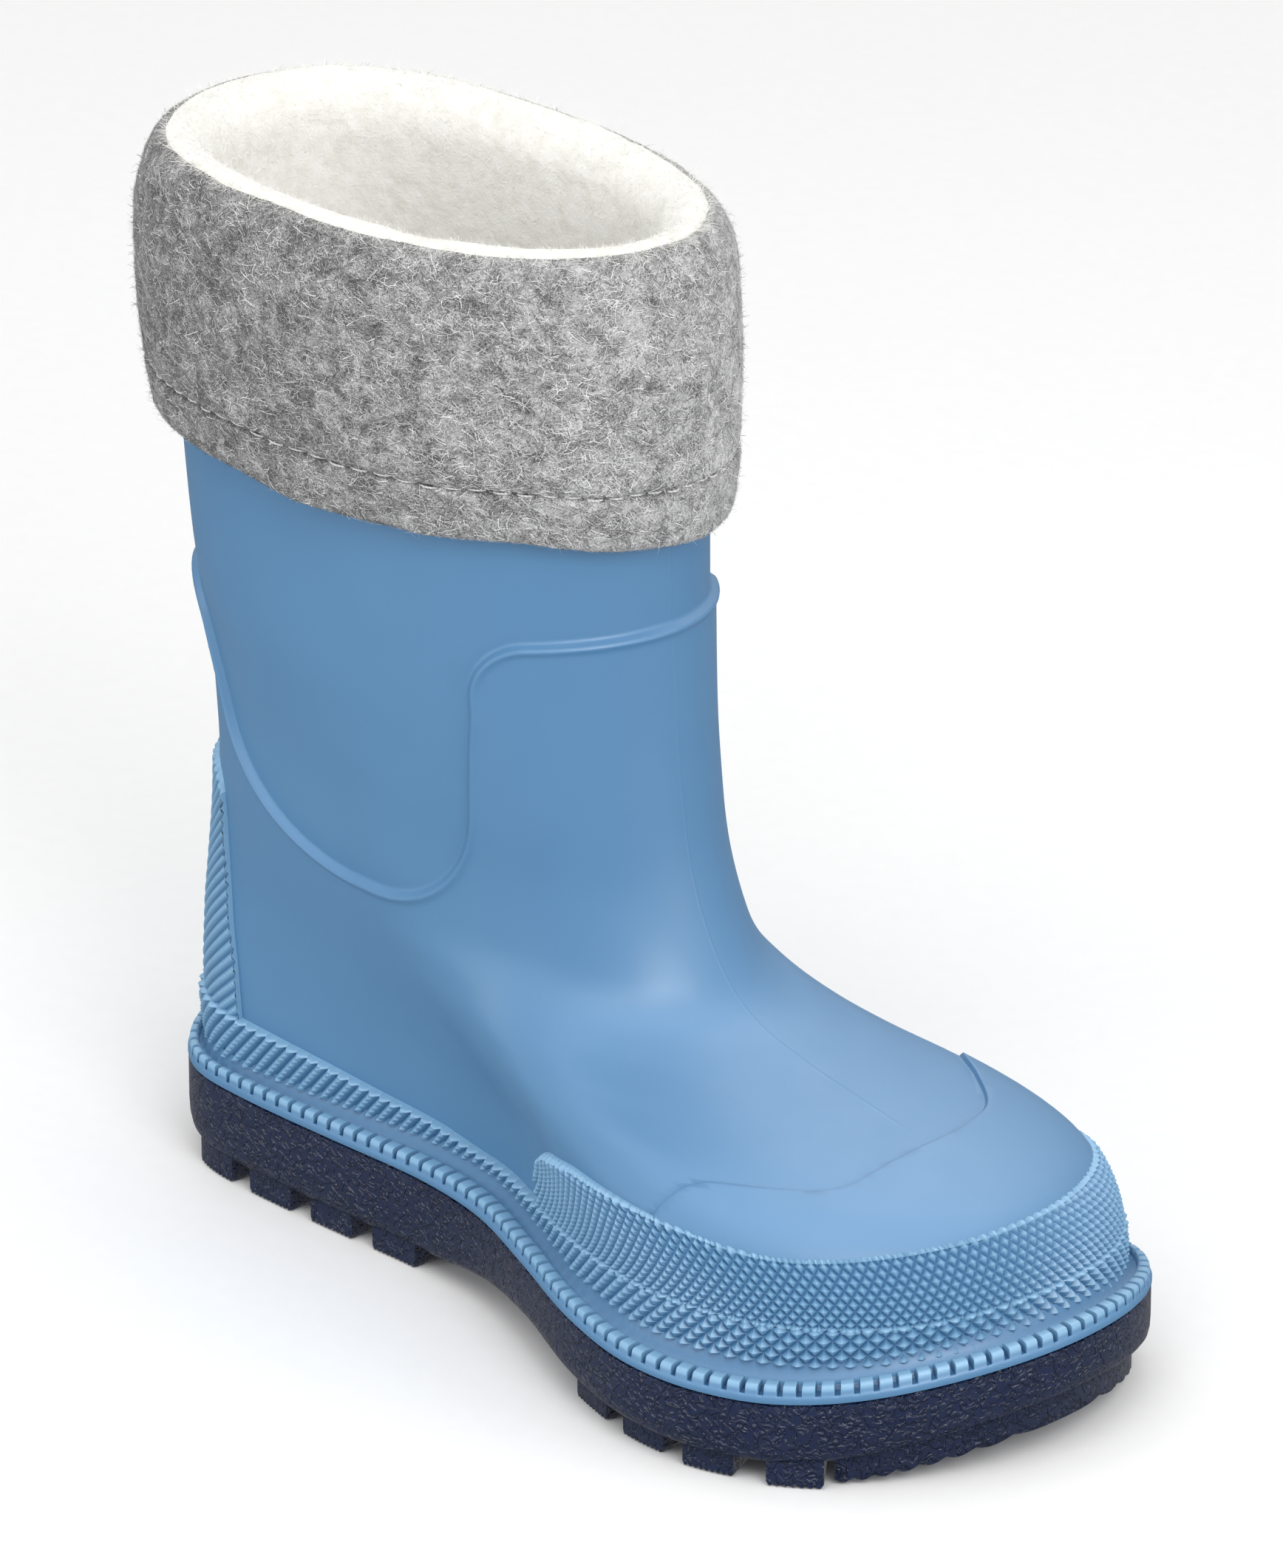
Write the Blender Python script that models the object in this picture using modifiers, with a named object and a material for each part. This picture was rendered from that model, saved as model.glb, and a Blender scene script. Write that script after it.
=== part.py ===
"""A child's lined rubber boot for the left foot.

Pieces: lugged outsole, toothed welt, moulded upper, insole, felt cuff and fleece lining.
Tables and sizes are in millimetres. x runs from the back of the heel to the toe, y to the outer side
of the foot (the inner side is negative) and z up from the floor. Meshes are made in metres.
"""

import math

import bmesh
import bpy
import numpy as np

MM = 0.001
NAME = "rubber_boot"

# Driving sizes of the boot.
SOLE_LENGTH = 195.0
TOE_OFFSET = 3.0
WALL = 2.4
FIT_GAP = 0.3
SEAT_GAP = 0.7

# Outsole, welt and insole sizes.
WELT_INNER = 8.0
WELT_OUTER = 6.0
WELT_LIP = 1.8
RIDGE_TOP = 3.0
RIDGE_SHARE = 0.6
COVE_FLOOR = 1.7
COVE_TOP = 3.6
COVE_ROW = 0.45
SIDE_ROUND = 3.0
LUG_WIDTH = 21.0
LUG_ROOT = 2.5
LUG_CHANNEL = 4.5
TIP_LUG_REACH = 0.072
TIP_LUG_INSET = 3.0
TIP_LUG_WIDTH = 11.0
TIP_LUG_DROP = 4.4
INSOLE_THICK = 4.0
INSOLE_GAP = 1.0

# Raised parts of the upper's wall: height of each step and the width of its sloping edge.
STEP_EDGE = 0.9
RAND_STEP = 1.6
BUMPER_STEP = 1.2
CAP_STEP = 0.8
COUNTER_STEP = 0.9
PANEL_STEP = 1.0
BUMPER_START = 103.5
BUMPER_ROUND = 9.0
COUNTER_REACH = 29.0
COUNTER_TOP = 73.0
COUNTER_ROUND = 6.0
GIRTH = 260.0
PANEL_FLOOR = 69.0
PANEL_FRONT = 90.5
PANEL_FRONT_LEAN = 0.16
PANEL_ROUND = 19.0
PANEL_CORNER = 10.0
PANEL_BAND_BACK = 111.0
PANEL_BAND_FRONT = 120.5
THICKEST = WALL + PANEL_STEP + RAND_STEP

# Cuff and lining sizes.
RUBBER_TOP = 174.0
CUFF_HEM = 137.0
CUFF_CREST = 186.0
CUFF_GAP = 0.5
FELT_THICK = 4.8
FLEECE_THICK = 5.0
FLEECE_TOP = 188.0
FLEECE_FOOT = 9.3

# How finely the solids are divided.
UPPER_DIVISIONS = 44
SOLE_DIVISIONS = 56
CUFF_DIVISIONS = 36


def table(columns, *rows):
    """A dictionary of named columns, each an array with one value for each row."""
    return dict(zip(columns, np.array(rows, float).T))


# Half width of the sole on each side before its round ends are taken off, by share of its length.
SOLE = table(
    ("share", "inner", "outer"),
    (0.00, 58.0, 58.0),
    (0.05, 54.5, 54.5),
    (0.15, 42.0, 42.0),
    (0.30, 32.6, 34.0),
    (0.385, 30.7, 32.8),
    (0.46, 32.0, 33.0),
    (0.55, 38.5, 35.0),
    (0.65, 48.3, 37.5),
    (0.735, 56.0, 40.6),
    (0.81, 61.0, 46.4),
    (0.875, 63.7, 56.0),
    (0.94, 64.5, 64.5),
    (1.00, 62.0, 69.0),
)

# Heights along the sole: the seat of the welt, and the lower edge of the side wall.
HEIGHTS = table(
    ("x", "seat", "edge"),
    (0.0, 18.0, 9.5),
    (8.0, 18.0, 6.0),
    (20.0, 18.0, 4.2),
    (75.0, 18.0, 4.0),
    (92.0, 17.7, 5.8),
    (108.0, 17.3, 6.8),
    (124.0, 16.7, 5.6),
    (142.0, 15.8, 4.6),
    (165.0, 15.3, 4.0),
    (180.0, 16.6, 5.6),
    (190.0, 19.0, 9.0),
    (195.0, 20.5, 11.0),
)

# Lines along the upper: top of the rand that runs all round, and top of the bumper round the toe.
BANDS = table(
    ("x", "rand", "bumper"),
    (0.0, 30.5, 37.0),
    (20.0, 29.8, 37.0),
    (40.0, 28.2, 37.0),
    (57.0, 26.3, 37.0),
    (70.0, 25.0, 37.0),
    (84.0, 23.6, 35.5),
    (97.0, 23.6, 35.5),
    (108.0, 24.4, 36.6),
    (122.0, 26.0, 38.8),
    (145.0, 26.8, 37.4),
    (165.0, 26.2, 35.6),
    (180.0, 26.6, 36.4),
    (190.0, 29.0, 37.4),
)

# Edge of the toe cap across the foot.
CAP = table(
    ("y", "x"),
    (-46.0, 139.5),
    (-37.0, 140.8),
    (-32.0, 144.0),
    (-26.6, 152.4),
    (-20.6, 159.4),
    (-10.7, 162.0),
    (2.0, 162.0),
    (13.0, 160.5),
    (20.0, 157.0),
    (25.0, 149.5),
    (29.0, 142.0),
    (36.0, 137.5),
    (46.0, 136.0),
)

# Main lugs of the tread: where each row starts and ends along the sole, and how far in from its edge.
LUG_ROWS = table(
    ("start", "end", "inset"),
    (15.2, 25.8, 1.2),
    (30.6, 41.0, 1.2),
    (46.0, 56.0, 1.2),
    (61.0, 71.2, 1.2),
    (122.6, 132.8, 3.4),
    (138.2, 148.4, 3.2),
    (153.6, 163.0, 2.2),
    (168.4, 176.2, 1.2),
)

# Sections of the upper from the welt to its top edge. Each is a closed ring from a point at the back
# to a point at the front, with a half width on each side. heel_full and toe_full widen the two ends
# of its oval, sole_like says how far it follows the outline of the sole (1) rather than the oval, and
# dip how far it follows the heights of the seat.
SECTIONS = table(
    (
        ("back_x", "back_y", "back_z", "front_x", "front_y", "front_z")
        + ("inner", "outer", "heel_full", "toe_full", "sole_like", "dip")
    ),
    (6.2, 0.0, 18.3, 187.3, 3.0, 20.5, 30.0, 30.0, 0.25, 0.1, 1.00, 1.0),
    (4.3, 0.0, 27.0, 187.0, 3.0, 29.5, 29.5, 29.5, 0.25, 0.1, 0.98, 0.7),
    (3.8, 0.0, 36.0, 181.6, 2.5, 37.8, 29.0, 29.0, 0.25, 0.1, 0.92, 0.2),
    (3.8, 0.0, 45.0, 166.0, 2.0, 43.4, 27.6, 25.5, 0.34, 0.0, 0.67, 0.0),
    (4.2, 0.0, 54.0, 149.9, 1.5, 46.8, 27.0, 24.2, 0.38, -0.1, 0.38, 0.0),
    (5.2, 0.0, 63.0, 135.0, 1.0, 49.9, 27.2, 25.4, 0.4, -0.1, 0.16, 0.0),
    (6.4, 0.0, 72.0, 122.5, 0.5, 54.2, 27.8, 27.0, 0.4, -0.12, 0.05, 0.0),
    (7.2, 0.0, 81.0, 114.6, 0.5, 61.0, 28.6, 28.5, 0.38, -0.1, 0.00, 0.0),
    (7.4, 0.0, 91.0, 108.4, 0.5, 73.0, 29.5, 29.0, 0.36, -0.05, 0.00, 0.0),
    (6.4, -0.5, 102.0, 105.2, 0.5, 88.0, 31.0, 29.5, 0.31, 0.0, 0.00, 0.0),
    (3.4, -1.0, 120.0, 103.4, 0.5, 112.0, 32.5, 31.0, 0.32, 0.0, 0.00, 0.0),
    (-1.3, -1.5, RUBBER_TOP, 103.0, 0.5, RUBBER_TOP, 33.5, 32.0, 0.32, 0.0, 0.00, 0.0),
)
TOP_ROW = len(SECTIONS["back_x"]) - 1.0


def curve(knots, values, at):
    """A smooth curve through (knot, value) pairs that stays between them, read at a number or an array."""
    at = np.clip(at, knots[0], knots[-1])
    step = np.diff(knots)
    slope = np.diff(values) / step
    before, after = slope[:-1], slope[1:]
    inside = (before * step[1:] + after * step[:-1]) / (step[1:] + step[:-1])
    limit = 3 * np.minimum(abs(before), abs(after)) * (before * after > 0)
    tangent = np.concatenate([slope[:1], np.clip(inside, -limit, limit), slope[-1:]])
    i = np.clip(np.searchsorted(knots, at, side="right") - 1, 0, len(step) - 1)
    t = (at - knots[i]) / step[i]
    start = (1 + 2 * t) * (1 - t) ** 2 * values[i] + t * (1 - t) ** 2 * step[i] * tangent[i]
    end = t**2 * (3 - 2 * t) * values[i + 1] + t**2 * (t - 1) * step[i] * tangent[i + 1]
    return start + end


def ramp(value, width=STEP_EDGE):
    """0 below zero, 1 above the width, and a straight slope between them."""
    return np.clip(np.asarray(value) / width, 0.0, 1.0)


def around(turn):
    """Share of the way from back to front, and signed width factor, at a turn from 0 to 1.

    Turn 0 is the back, 0.25 the inner side, 0.5 the front and 0.75 the outer side.
    """
    angle = 2 * math.pi * np.asarray(turn)
    return (1 - np.cos(angle)) / 2, -np.sin(angle)


def side_width(width, inner, outer):
    return np.where(width < 0, inner, outer)


def sole_line(turn, inset=0.0):
    """(x, y) on the outline of the sole, moved in by inset."""

    def line(at):
        share, width = around(at)
        half = side_width(width, *(curve(SOLE["share"], SOLE[side], share) for side in ("inner", "outer")))
        return np.stack([SOLE_LENGTH * share, TOE_OFFSET * share**3 + width * half], -1)

    small = 1e-4
    tangent = line(turn + small) - line(turn - small)
    inward = np.stack([tangent[..., 1], -tangent[..., 0]], -1) * -1.0
    return line(turn) + inset * inward / np.linalg.norm(inward, axis=-1, keepdims=True)


def height(name, x):
    return curve(HEIGHTS["x"], HEIGHTS[name], x)


def upper_base(turn, row):
    """A point of the upper's outer wall without its raised parts."""
    turn, row = np.broadcast_arrays(np.asarray(turn, float), np.asarray(row, float))
    at = {name: curve(np.arange(TOP_ROW + 1), SECTIONS[name], row) for name in SECTIONS}
    share, width = around(turn)
    sole = side_width(width, *(curve(SOLE["share"], SOLE[side], share) for side in ("inner", "outer")))
    full = np.where(share < 0.5, at["heel_full"], at["toe_full"])
    oval = side_width(width, at["inner"], at["outer"]) * (1 + full * (2 * share - 1) ** 2)
    on_sole = sole - side_width(width, WELT_INNER, WELT_OUTER)
    half = at["sole_like"] * on_sole + (1 - at["sole_like"]) * oval
    x, y, z = (at["back_" + k] + (at["front_" + k] - at["back_" + k]) * share for k in "xyz")
    straight = SECTIONS["back_z"][0] + (SECTIONS["front_z"][0] - SECTIONS["back_z"][0]) * share
    return np.stack([x, y + width * half, z + at["dip"] * (height("seat", x) + SEAT_GAP - straight)], -1)


def upper_normal(turn, row):
    """Outward unit normal of the upper's wall."""
    small = 1e-3
    low, high = np.maximum(row - small, 0.0), np.minimum(row + small, TOP_ROW)
    along = upper_base(turn + small, row) - upper_base(turn - small, row)
    across = upper_base(turn, high) - upper_base(turn, low)
    normal = np.cross(along, across)
    return normal / np.linalg.norm(normal, axis=-1, keepdims=True)


def both(first, second, radius):
    """Inside both of two regions, as a distance, with the corner between them rounded."""
    corner = np.hypot(np.maximum(radius - first, 0), np.maximum(radius - second, 0))
    return np.where(np.maximum(first, second) > radius, np.minimum(first, second), radius - corner)


def rand_field(turn, point):
    """How far inside the rand a point is, and so for the other fields below."""
    return curve(BANDS["x"], BANDS["rand"], point[..., 0]) - point[..., 2]


def bumper_field(turn, point):
    below = curve(BANDS["x"], BANDS["bumper"], point[..., 0]) - point[..., 2]
    return both(below, point[..., 0] - BUMPER_START, BUMPER_ROUND)


def cap_field(turn, point):
    return point[..., 0] - curve(CAP["y"], CAP["x"], point[..., 1])


def counter_field(turn, point):
    reach = COUNTER_REACH - GIRTH * np.minimum(turn, 1 - turn)
    return both(reach, COUNTER_TOP - point[..., 2], COUNTER_ROUND)


def panel_field(turn, point):
    """The thicker wall of the foot and ankle, around a thinner window on each side of the shaft."""
    along = GIRTH * np.minimum(turn, 1 - turn)
    z = point[..., 2]
    rear = 40.0 - 11.0 * (z - 75.0) / 31.0
    front = PANEL_FRONT - PANEL_FRONT_LEAN * np.maximum(105.0 - z, 0.0)
    window = both(z - PANEL_FLOOR, np.minimum(along - rear, front - along), PANEL_ROUND)
    band = z - (PANEL_BAND_BACK + (PANEL_BAND_FRONT - PANEL_BAND_BACK) * around(turn)[0])
    return both(-window, -band, PANEL_CORNER)


OVERLAYS = (
    (rand_field, RAND_STEP),
    (bumper_field, BUMPER_STEP),
    (cap_field, CAP_STEP),
    (counter_field, COUNTER_STEP),
)


def upper_lift(turn, row):
    """How far the highest overlay and the thicker wall under it stand out from the upper's wall."""
    point = upper_base(turn, row)
    overlay = np.max([step * ramp(field(turn, point)) for field, step in OVERLAYS], axis=0)
    return overlay + PANEL_STEP * ramp(panel_field(turn, point))


def upper_outside(turn, row, out=0.0):
    """A point on the outside of the upper with its raised parts, or moved further out."""
    lift = (upper_lift(turn, row) + out)[..., None]
    return upper_base(turn, row) + lift * upper_normal(turn, row)


def clear_scene():
    for old in list(bpy.data.objects):
        bpy.data.objects.remove(old, do_unlink=True)


def collection(name):
    made = bpy.data.collections.new(name)
    bpy.context.scene.collection.children.link(made)
    return made


def material(name, colour, roughness):
    made = bpy.data.materials.new(name)
    made.use_nodes = True
    shader = made.node_tree.nodes["Principled BSDF"]
    shader.inputs["Base Color"].default_value = (*colour, 1.0)
    shader.inputs["Roughness"].default_value = roughness
    return made


def add_object(name, bm, into, look=None):
    """An object from a bmesh whose coordinates are in millimetres about the boot's own axes."""
    bmesh.ops.translate(bm, vec=tuple(-ORIGIN), verts=bm.verts)
    bmesh.ops.scale(bm, vec=(MM, MM, MM), verts=bm.verts)
    bmesh.ops.recalc_face_normals(bm, faces=bm.faces)
    mesh = bpy.data.meshes.new(name)
    bm.to_mesh(mesh)
    bm.free()
    made = bpy.data.objects.new(name, mesh)
    into.objects.link(made)
    if look:
        mesh.materials.append(look)
    return made


def loft(rings, closed):
    """Faces between rings of points. A closed loft joins its last ring to its first; an open one has
    its two ends filled by strips from side to side."""
    bm = bmesh.new()
    verts = [[bm.verts.new(tuple(point)) for point in ring] for ring in rings]
    count = len(verts[0])
    pairs = list(zip(verts, verts[1:] + verts[:1] if closed else verts[1:]))
    for low, high in pairs:
        for i in range(count):
            j = (i + 1) % count
            bm.faces.new((low[i], low[j], high[j], high[i]))
    if not closed:
        for ring in (verts[0], verts[-1]):
            for i in range(count // 2):
                strip = [ring[i], ring[i + 1], ring[-i - 1], ring[-i % count]]
                bm.faces.new(list(dict.fromkeys(strip)))
    return bm


def turns(count):
    return np.arange(count) / count


def at_height(line, z):
    return np.column_stack([line, np.broadcast_to(z, len(line))])


def moved_out(ring, out):
    """A closed line in plan, moved outward."""
    step = np.roll(ring, -1, 0) - np.roll(ring, 1, 0)
    outward = np.column_stack([step[:, 1], -step[:, 0]])
    return ring + out * outward / np.linalg.norm(outward, axis=1, keepdims=True)


def collar_ring(turn, z, out):
    """The ring of the shaft's outer wall at a height, carried on upward above the rubber, moved out."""
    row = np.interp(z, SECTIONS["front_z"][7:], np.arange(7, TOP_ROW + 1))
    ring = upper_base(turn, np.full_like(turn, min(row, TOP_ROW)))[:, :2]
    return at_height(moved_out(ring, out), z)


def wall_ring(turn, row, out):
    """A ring of the upper's wall, moved out from it."""
    row = np.full_like(turn, row)
    return upper_base(turn, row) + out * upper_normal(turn, row)


def make_outsole(into, helpers, look):
    turn = turns(SOLE_DIVISIONS)
    rim = sole_line(turn)
    edge = height("edge", rim[:, 0])
    rings = [at_height(rim, height("seat", rim[:, 0]))]
    for inset, rise in ((0.0, SIDE_ROUND), (0.3 * SIDE_ROUND, 0.3 * SIDE_ROUND), (SIDE_ROUND, 0.0)):
        rings.append(at_height(sole_line(turn, inset), edge + rise))
    outsole = add_object("outsole", loft(rings, False), into, look)
    lugs = bmesh.new()
    for start, end, inset in zip(*LUG_ROWS.values()):
        for block in lug_blocks(start, end, inset):
            add_prism(lugs, block, lambda x: 0.0 * x)
    tip = TIP_LUG_REACH * np.linspace(-1, 1, 9) + 0.5
    outline = [*sole_line(tip, TIP_LUG_INSET), *sole_line(tip[::-1], TIP_LUG_WIDTH)]
    add_prism(lugs, outline, lambda x: np.maximum(height("edge", x) - TIP_LUG_DROP, 0.0))
    cutter = add_object("outsole_lugs", lugs, helpers)
    cutter.hide_render = True
    cutter.display_type = "WIRE"
    join = outsole.modifiers.new("lugs", "BOOLEAN")
    join.operation = "UNION"
    join.solver = "EXACT"
    join.use_self = True
    join.object = cutter


def add_prism(bm, outline, foot):
    """A block over a plan outline, from its foot up into the body of the sole."""
    verts = [bm.verts.new((x, y, float(foot(x)))) for x, y in outline]
    for part in bmesh.ops.extrude_face_region(bm, geom=[bm.faces.new(verts)])["geom"]:
        if isinstance(part, bmesh.types.BMVert):
            part.co.z = float(height("edge", part.co.x)) + LUG_ROOT


def lug_blocks(start, end, inset):
    """Plan outlines of one row of lugs: a block along each side and a bar between them."""
    ends = np.array([start, (start + end) / 2, end])
    turn = np.arccos(1 - 2 * ends / SOLE_LENGTH) / (2 * math.pi)
    blocks = []
    for side in (turn, 1 - turn):
        outer, inner = sole_line(side, inset), sole_line(side, LUG_WIDTH)
        blocks.append(np.concatenate([outer, inner[::-1]]))
    near, far = (sole_line(side[1], LUG_WIDTH + LUG_CHANNEL)[1] for side in (turn, 1 - turn))
    if far - near > LUG_CHANNEL:
        blocks.append(np.array([(start, near), (end, near), (end, far), (start, far)]))
    return blocks


def make_welt(into, look):
    turn = turns(SOLE_DIVISIONS)
    rim = sole_line(turn)
    seat = height("seat", rim[:, 0]) + FIT_GAP
    top, foot = (upper_outside(turn, np.full_like(turn, row), FIT_GAP)[:, :2] for row in (COVE_ROW, 0.0))
    rings = []
    for share, rise in (
        (0.0, 0.0),
        (0.0, WELT_LIP),
        (0.08, RIDGE_TOP),
        (RIDGE_SHARE, RIDGE_TOP),
        (RIDGE_SHARE + 0.08, COVE_FLOOR),
        (1.0, COVE_TOP),
    ):
        rings.append(at_height(rim + share * (top - rim), seat + rise))
    rings.append(at_height(foot, seat))
    add_object("welt", loft(rings, True), into, look)


def cut_sheet(bm, field, level):
    """Cuts the flat sheet of (turn, row) where a field passes a level."""
    flat = np.array([vert.co for vert in bm.verts])
    values = field(flat[:, 0], upper_base(flat[:, 0], flat[:, 1])) - level
    for vert, value in zip(bm.verts, values):
        vert.co.z = value
    everything = bm.verts[:] + bm.edges[:] + bm.faces[:]
    bmesh.ops.bisect_plane(bm, geom=everything, dist=0.02, plane_co=(0, 0, 0), plane_no=(0, 0, 1))
    for vert in bm.verts:
        vert.co.z = 0.0


def make_upper(into, look):
    rows = np.concatenate([np.arange(0.0, 3.0, 0.5), np.arange(3.0, TOP_ROW + 0.1, 0.5)])
    bm = bmesh.new()
    bmesh.ops.create_grid(bm, x_segments=UPPER_DIVISIONS, y_segments=len(rows) - 1, size=0.5)
    for vert in bm.verts:
        vert.co.y = np.interp((vert.co.y + 0.5) * (len(rows) - 1), np.arange(len(rows)), rows)
        vert.co.x += 0.5
    for field in (panel_field, *(field for field, _ in OVERLAYS)):
        for level in (0.0, STEP_EDGE):
            cut_sheet(bm, field, level)
    flat = np.array([vert.co for vert in bm.verts])
    lift = upper_lift(flat[:, 0], flat[:, 1])
    for vert, point in zip(bm.verts, upper_outside(flat[:, 0], flat[:, 1])):
        vert.co = point
    thick = [float(value) for value in (lift + WALL) / THICKEST]
    layer = bm.verts.layers.deform.verify()
    for vert, weight in zip(bm.verts, thick):
        vert[layer][0] = weight
    bmesh.ops.remove_doubles(bm, verts=bm.verts, dist=0.01)
    upper = add_object("upper", bm, into, look)
    upper.vertex_groups.new(name="wall")
    shell = upper.modifiers.new("wall", "SOLIDIFY")
    shell.thickness = THICKEST * MM
    shell.offset = -1.0
    shell.vertex_group = "wall"
    shell.use_even_offset = False


def make_insole(into, look):
    turn = turns(SOLE_DIVISIONS)
    line = moved_out(wall_ring(turn, 0.0, 0.0)[:, :2], -WALL - INSOLE_GAP)
    seat = height("seat", line[:, 0]) + FIT_GAP
    rings = [at_height(line, seat), at_height(line, seat + INSOLE_THICK)]
    add_object("insole", loft(rings, False), into, look)


def make_cuff(into, look):
    turn = turns(CUFF_DIVISIONS)
    outer = CUFF_GAP + FELT_THICK
    profile = (
        (CUFF_GAP, CUFF_HEM),
        (outer - 1.6, CUFF_HEM - 0.4),
        (outer - 0.9, CUFF_HEM + 1.5),
        (outer + 0.2, CUFF_HEM + 16.0),
        (outer, CUFF_CREST - 15.0),
        (outer - 1.4, CUFF_CREST - 6.0),
        (outer - 3.6, CUFF_CREST - 1.4),
        (CUFF_GAP - 2.0, CUFF_CREST),
        (CUFF_GAP - 1.2, CUFF_CREST - 4.0),
        (CUFF_GAP, RUBBER_TOP + 1.0),
    )
    add_object("felt_cuff", loft([collar_ring(turn, z, out) for out, z in profile], True), into, look)


def make_lining(into, look):
    turn = turns(CUFF_DIVISIONS)
    outer = -WALL - FIT_GAP
    inner = outer - FLEECE_THICK
    rows = np.array([FLEECE_FOOT, 10.0, 10.5, TOP_ROW])
    rings = [wall_ring(turn, row, outer) for row in rows]
    fold = CUFF_GAP - 1.2 - FIT_GAP
    for out, z in (
        (outer, RUBBER_TOP + 1.0),
        (fold + 0.4, RUBBER_TOP + 4.0),
        (fold, CUFF_CREST - 4.0),
        (fold - 0.9, CUFF_CREST - 0.2),
        (outer, FLEECE_TOP - 0.5),
        ((outer + inner) / 2, FLEECE_TOP),
        (inner + 0.8, FLEECE_TOP - 2.0),
        (inner, FLEECE_TOP - 6.0),
    ):
        rings.append(collar_ring(turn, z, out))
    rings += [wall_ring(turn, row, inner) for row in rows[::-1]]
    add_object("fleece_lining", loft(rings, True), into, look)


def middle():
    """The point on the floor under the middle of the whole boot."""
    turn = turns(400)
    cuff = collar_ring(turn, CUFF_HEM + 16.0, CUFF_GAP + FELT_THICK + 0.4)[:, :2]
    plan = np.concatenate([sole_line(turn), cuff])
    return np.append((plan.min(0) + plan.max(0)) / 2, 0.0)


ORIGIN = middle()


def main():
    clear_scene()
    parts = collection(NAME)
    helpers = collection(NAME + "_cutters")
    helpers.hide_render = True
    blue = material("boot_rubber", (0.14, 0.29, 0.50), 0.42)
    navy = material("sole_rubber", (0.020, 0.026, 0.055), 0.55)
    make_outsole(parts, helpers, navy)
    make_welt(parts, blue)
    make_upper(parts, blue)
    make_insole(parts, material("insole_felt", (0.62, 0.60, 0.56), 0.95))
    make_cuff(parts, material("felt", (0.26, 0.26, 0.27), 0.95))
    make_lining(parts, material("fleece", (0.86, 0.85, 0.81), 0.95))


if __name__ == "__main__":
    main()
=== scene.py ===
"""The looks of a child's lined rubber boot, dressed over its CAD frame.

Tables and sizes are in millimetres about the boot's own axes: x runs from the back of the heel to the
toe, y to the outer side of the foot (the inner side is negative) and z up from the floor. Meshes are
made in metres about the origin of the frame.
"""

import math

import bmesh
import bpy
import numpy as np
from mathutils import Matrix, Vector

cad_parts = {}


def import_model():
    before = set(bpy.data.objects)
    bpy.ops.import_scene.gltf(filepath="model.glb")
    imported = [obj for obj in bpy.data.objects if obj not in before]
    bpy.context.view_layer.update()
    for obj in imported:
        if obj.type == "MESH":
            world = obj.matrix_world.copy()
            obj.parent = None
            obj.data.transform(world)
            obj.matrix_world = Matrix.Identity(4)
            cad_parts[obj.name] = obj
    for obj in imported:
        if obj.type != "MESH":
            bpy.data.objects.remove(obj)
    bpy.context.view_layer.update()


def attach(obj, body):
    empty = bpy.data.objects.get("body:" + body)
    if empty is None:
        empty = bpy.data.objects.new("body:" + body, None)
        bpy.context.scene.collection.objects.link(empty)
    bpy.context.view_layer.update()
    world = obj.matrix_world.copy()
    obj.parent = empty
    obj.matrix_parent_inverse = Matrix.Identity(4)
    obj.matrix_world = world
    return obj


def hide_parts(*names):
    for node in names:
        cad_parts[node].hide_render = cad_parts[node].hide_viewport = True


MM = 0.001

# The photograph's camera: where it looks, from which side, and its distance and lens.
IMAGE_HEIGHT = 2122
SENSOR = 36.0
TARGET = (109.2, -12.0, 97.0)
AZIMUTH = 46.0
ELEVATION = 24.5
DISTANCE = 1950.0
PIXELS_PER_MM = 8.27

# Driving sizes of the boot.
SOLE_LENGTH = 195.0
TOE_OFFSET = 3.0
WALL = 2.4
FIT_GAP = 0.3
SEAT_GAP = 0.7

# Outsole, welt and insole sizes.
WELT_INNER = 8.0
WELT_OUTER = 6.0
COVE_ROW = 0.45
LUG_WIDTH = 21.0
LUG_ROOT = 2.5
LUG_CHANNEL = 4.5
LUG_CHAMFER = 0.25
TIP_LUG_START = 0.403
TIP_LUG_END = 0.572
TIP_LUG_INSET = 3.0
TIP_LUG_WIDTH = 11.0
TIP_LUG_DROP = 4.4
INSOLE_THICK = 4.0
INSOLE_GAP = 1.0
INSOLE_EVEN = 18.0

# Raised parts of the upper's wall: the height of each step, and where it starts and ends.
RAND_STEP = 1.6
CAP_STEP = 0.8
PANEL_STEP = 1.0
BUMPER_START = 103.5
BUMPER_ROUND = 9.0
BUMPER_END_GAP = 0.3
COUNTER_REACH = 29.0
COUNTER_TOP = 73.0
COUNTER_ROUND = 6.0
COUNTER_END_GAP = 0.001
GIRTH = 260.0
PANEL_FLOOR = 69.0
PANEL_REAR = 40.0
PANEL_REAR_SHIFT = 11.0
PANEL_REAR_LOW = 75.0
PANEL_REAR_HIGH = 106.0
PANEL_FRONT = 90.5
PANEL_FRONT_LEAN = 0.16
PANEL_FRONT_TOP = 105.0
PANEL_ROUND = 19.0
PANEL_CORNER = 10.0
PANEL_BAND_BACK = 111.0
PANEL_BAND_FRONT = 120.5

# Cuff and lining sizes.
RUBBER_TOP = 174.0
CUFF_HEM = 137.0
CUFF_CREST = 186.6
CUFF_GAP = 0.5
FELT_THICK = 4.8
FELT_FACE = CUFF_GAP + FELT_THICK
FELT_GIRTH = 305.0
BELLY_RISE = 16.0
BELLY_OUT = 0.4
FLEECE_TOP = 187.4
FLEECE_FOOT_GAP = 0.4
LINING_BACK = -WALL - FIT_GAP
LINING_EVEN = 8.0

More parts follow.
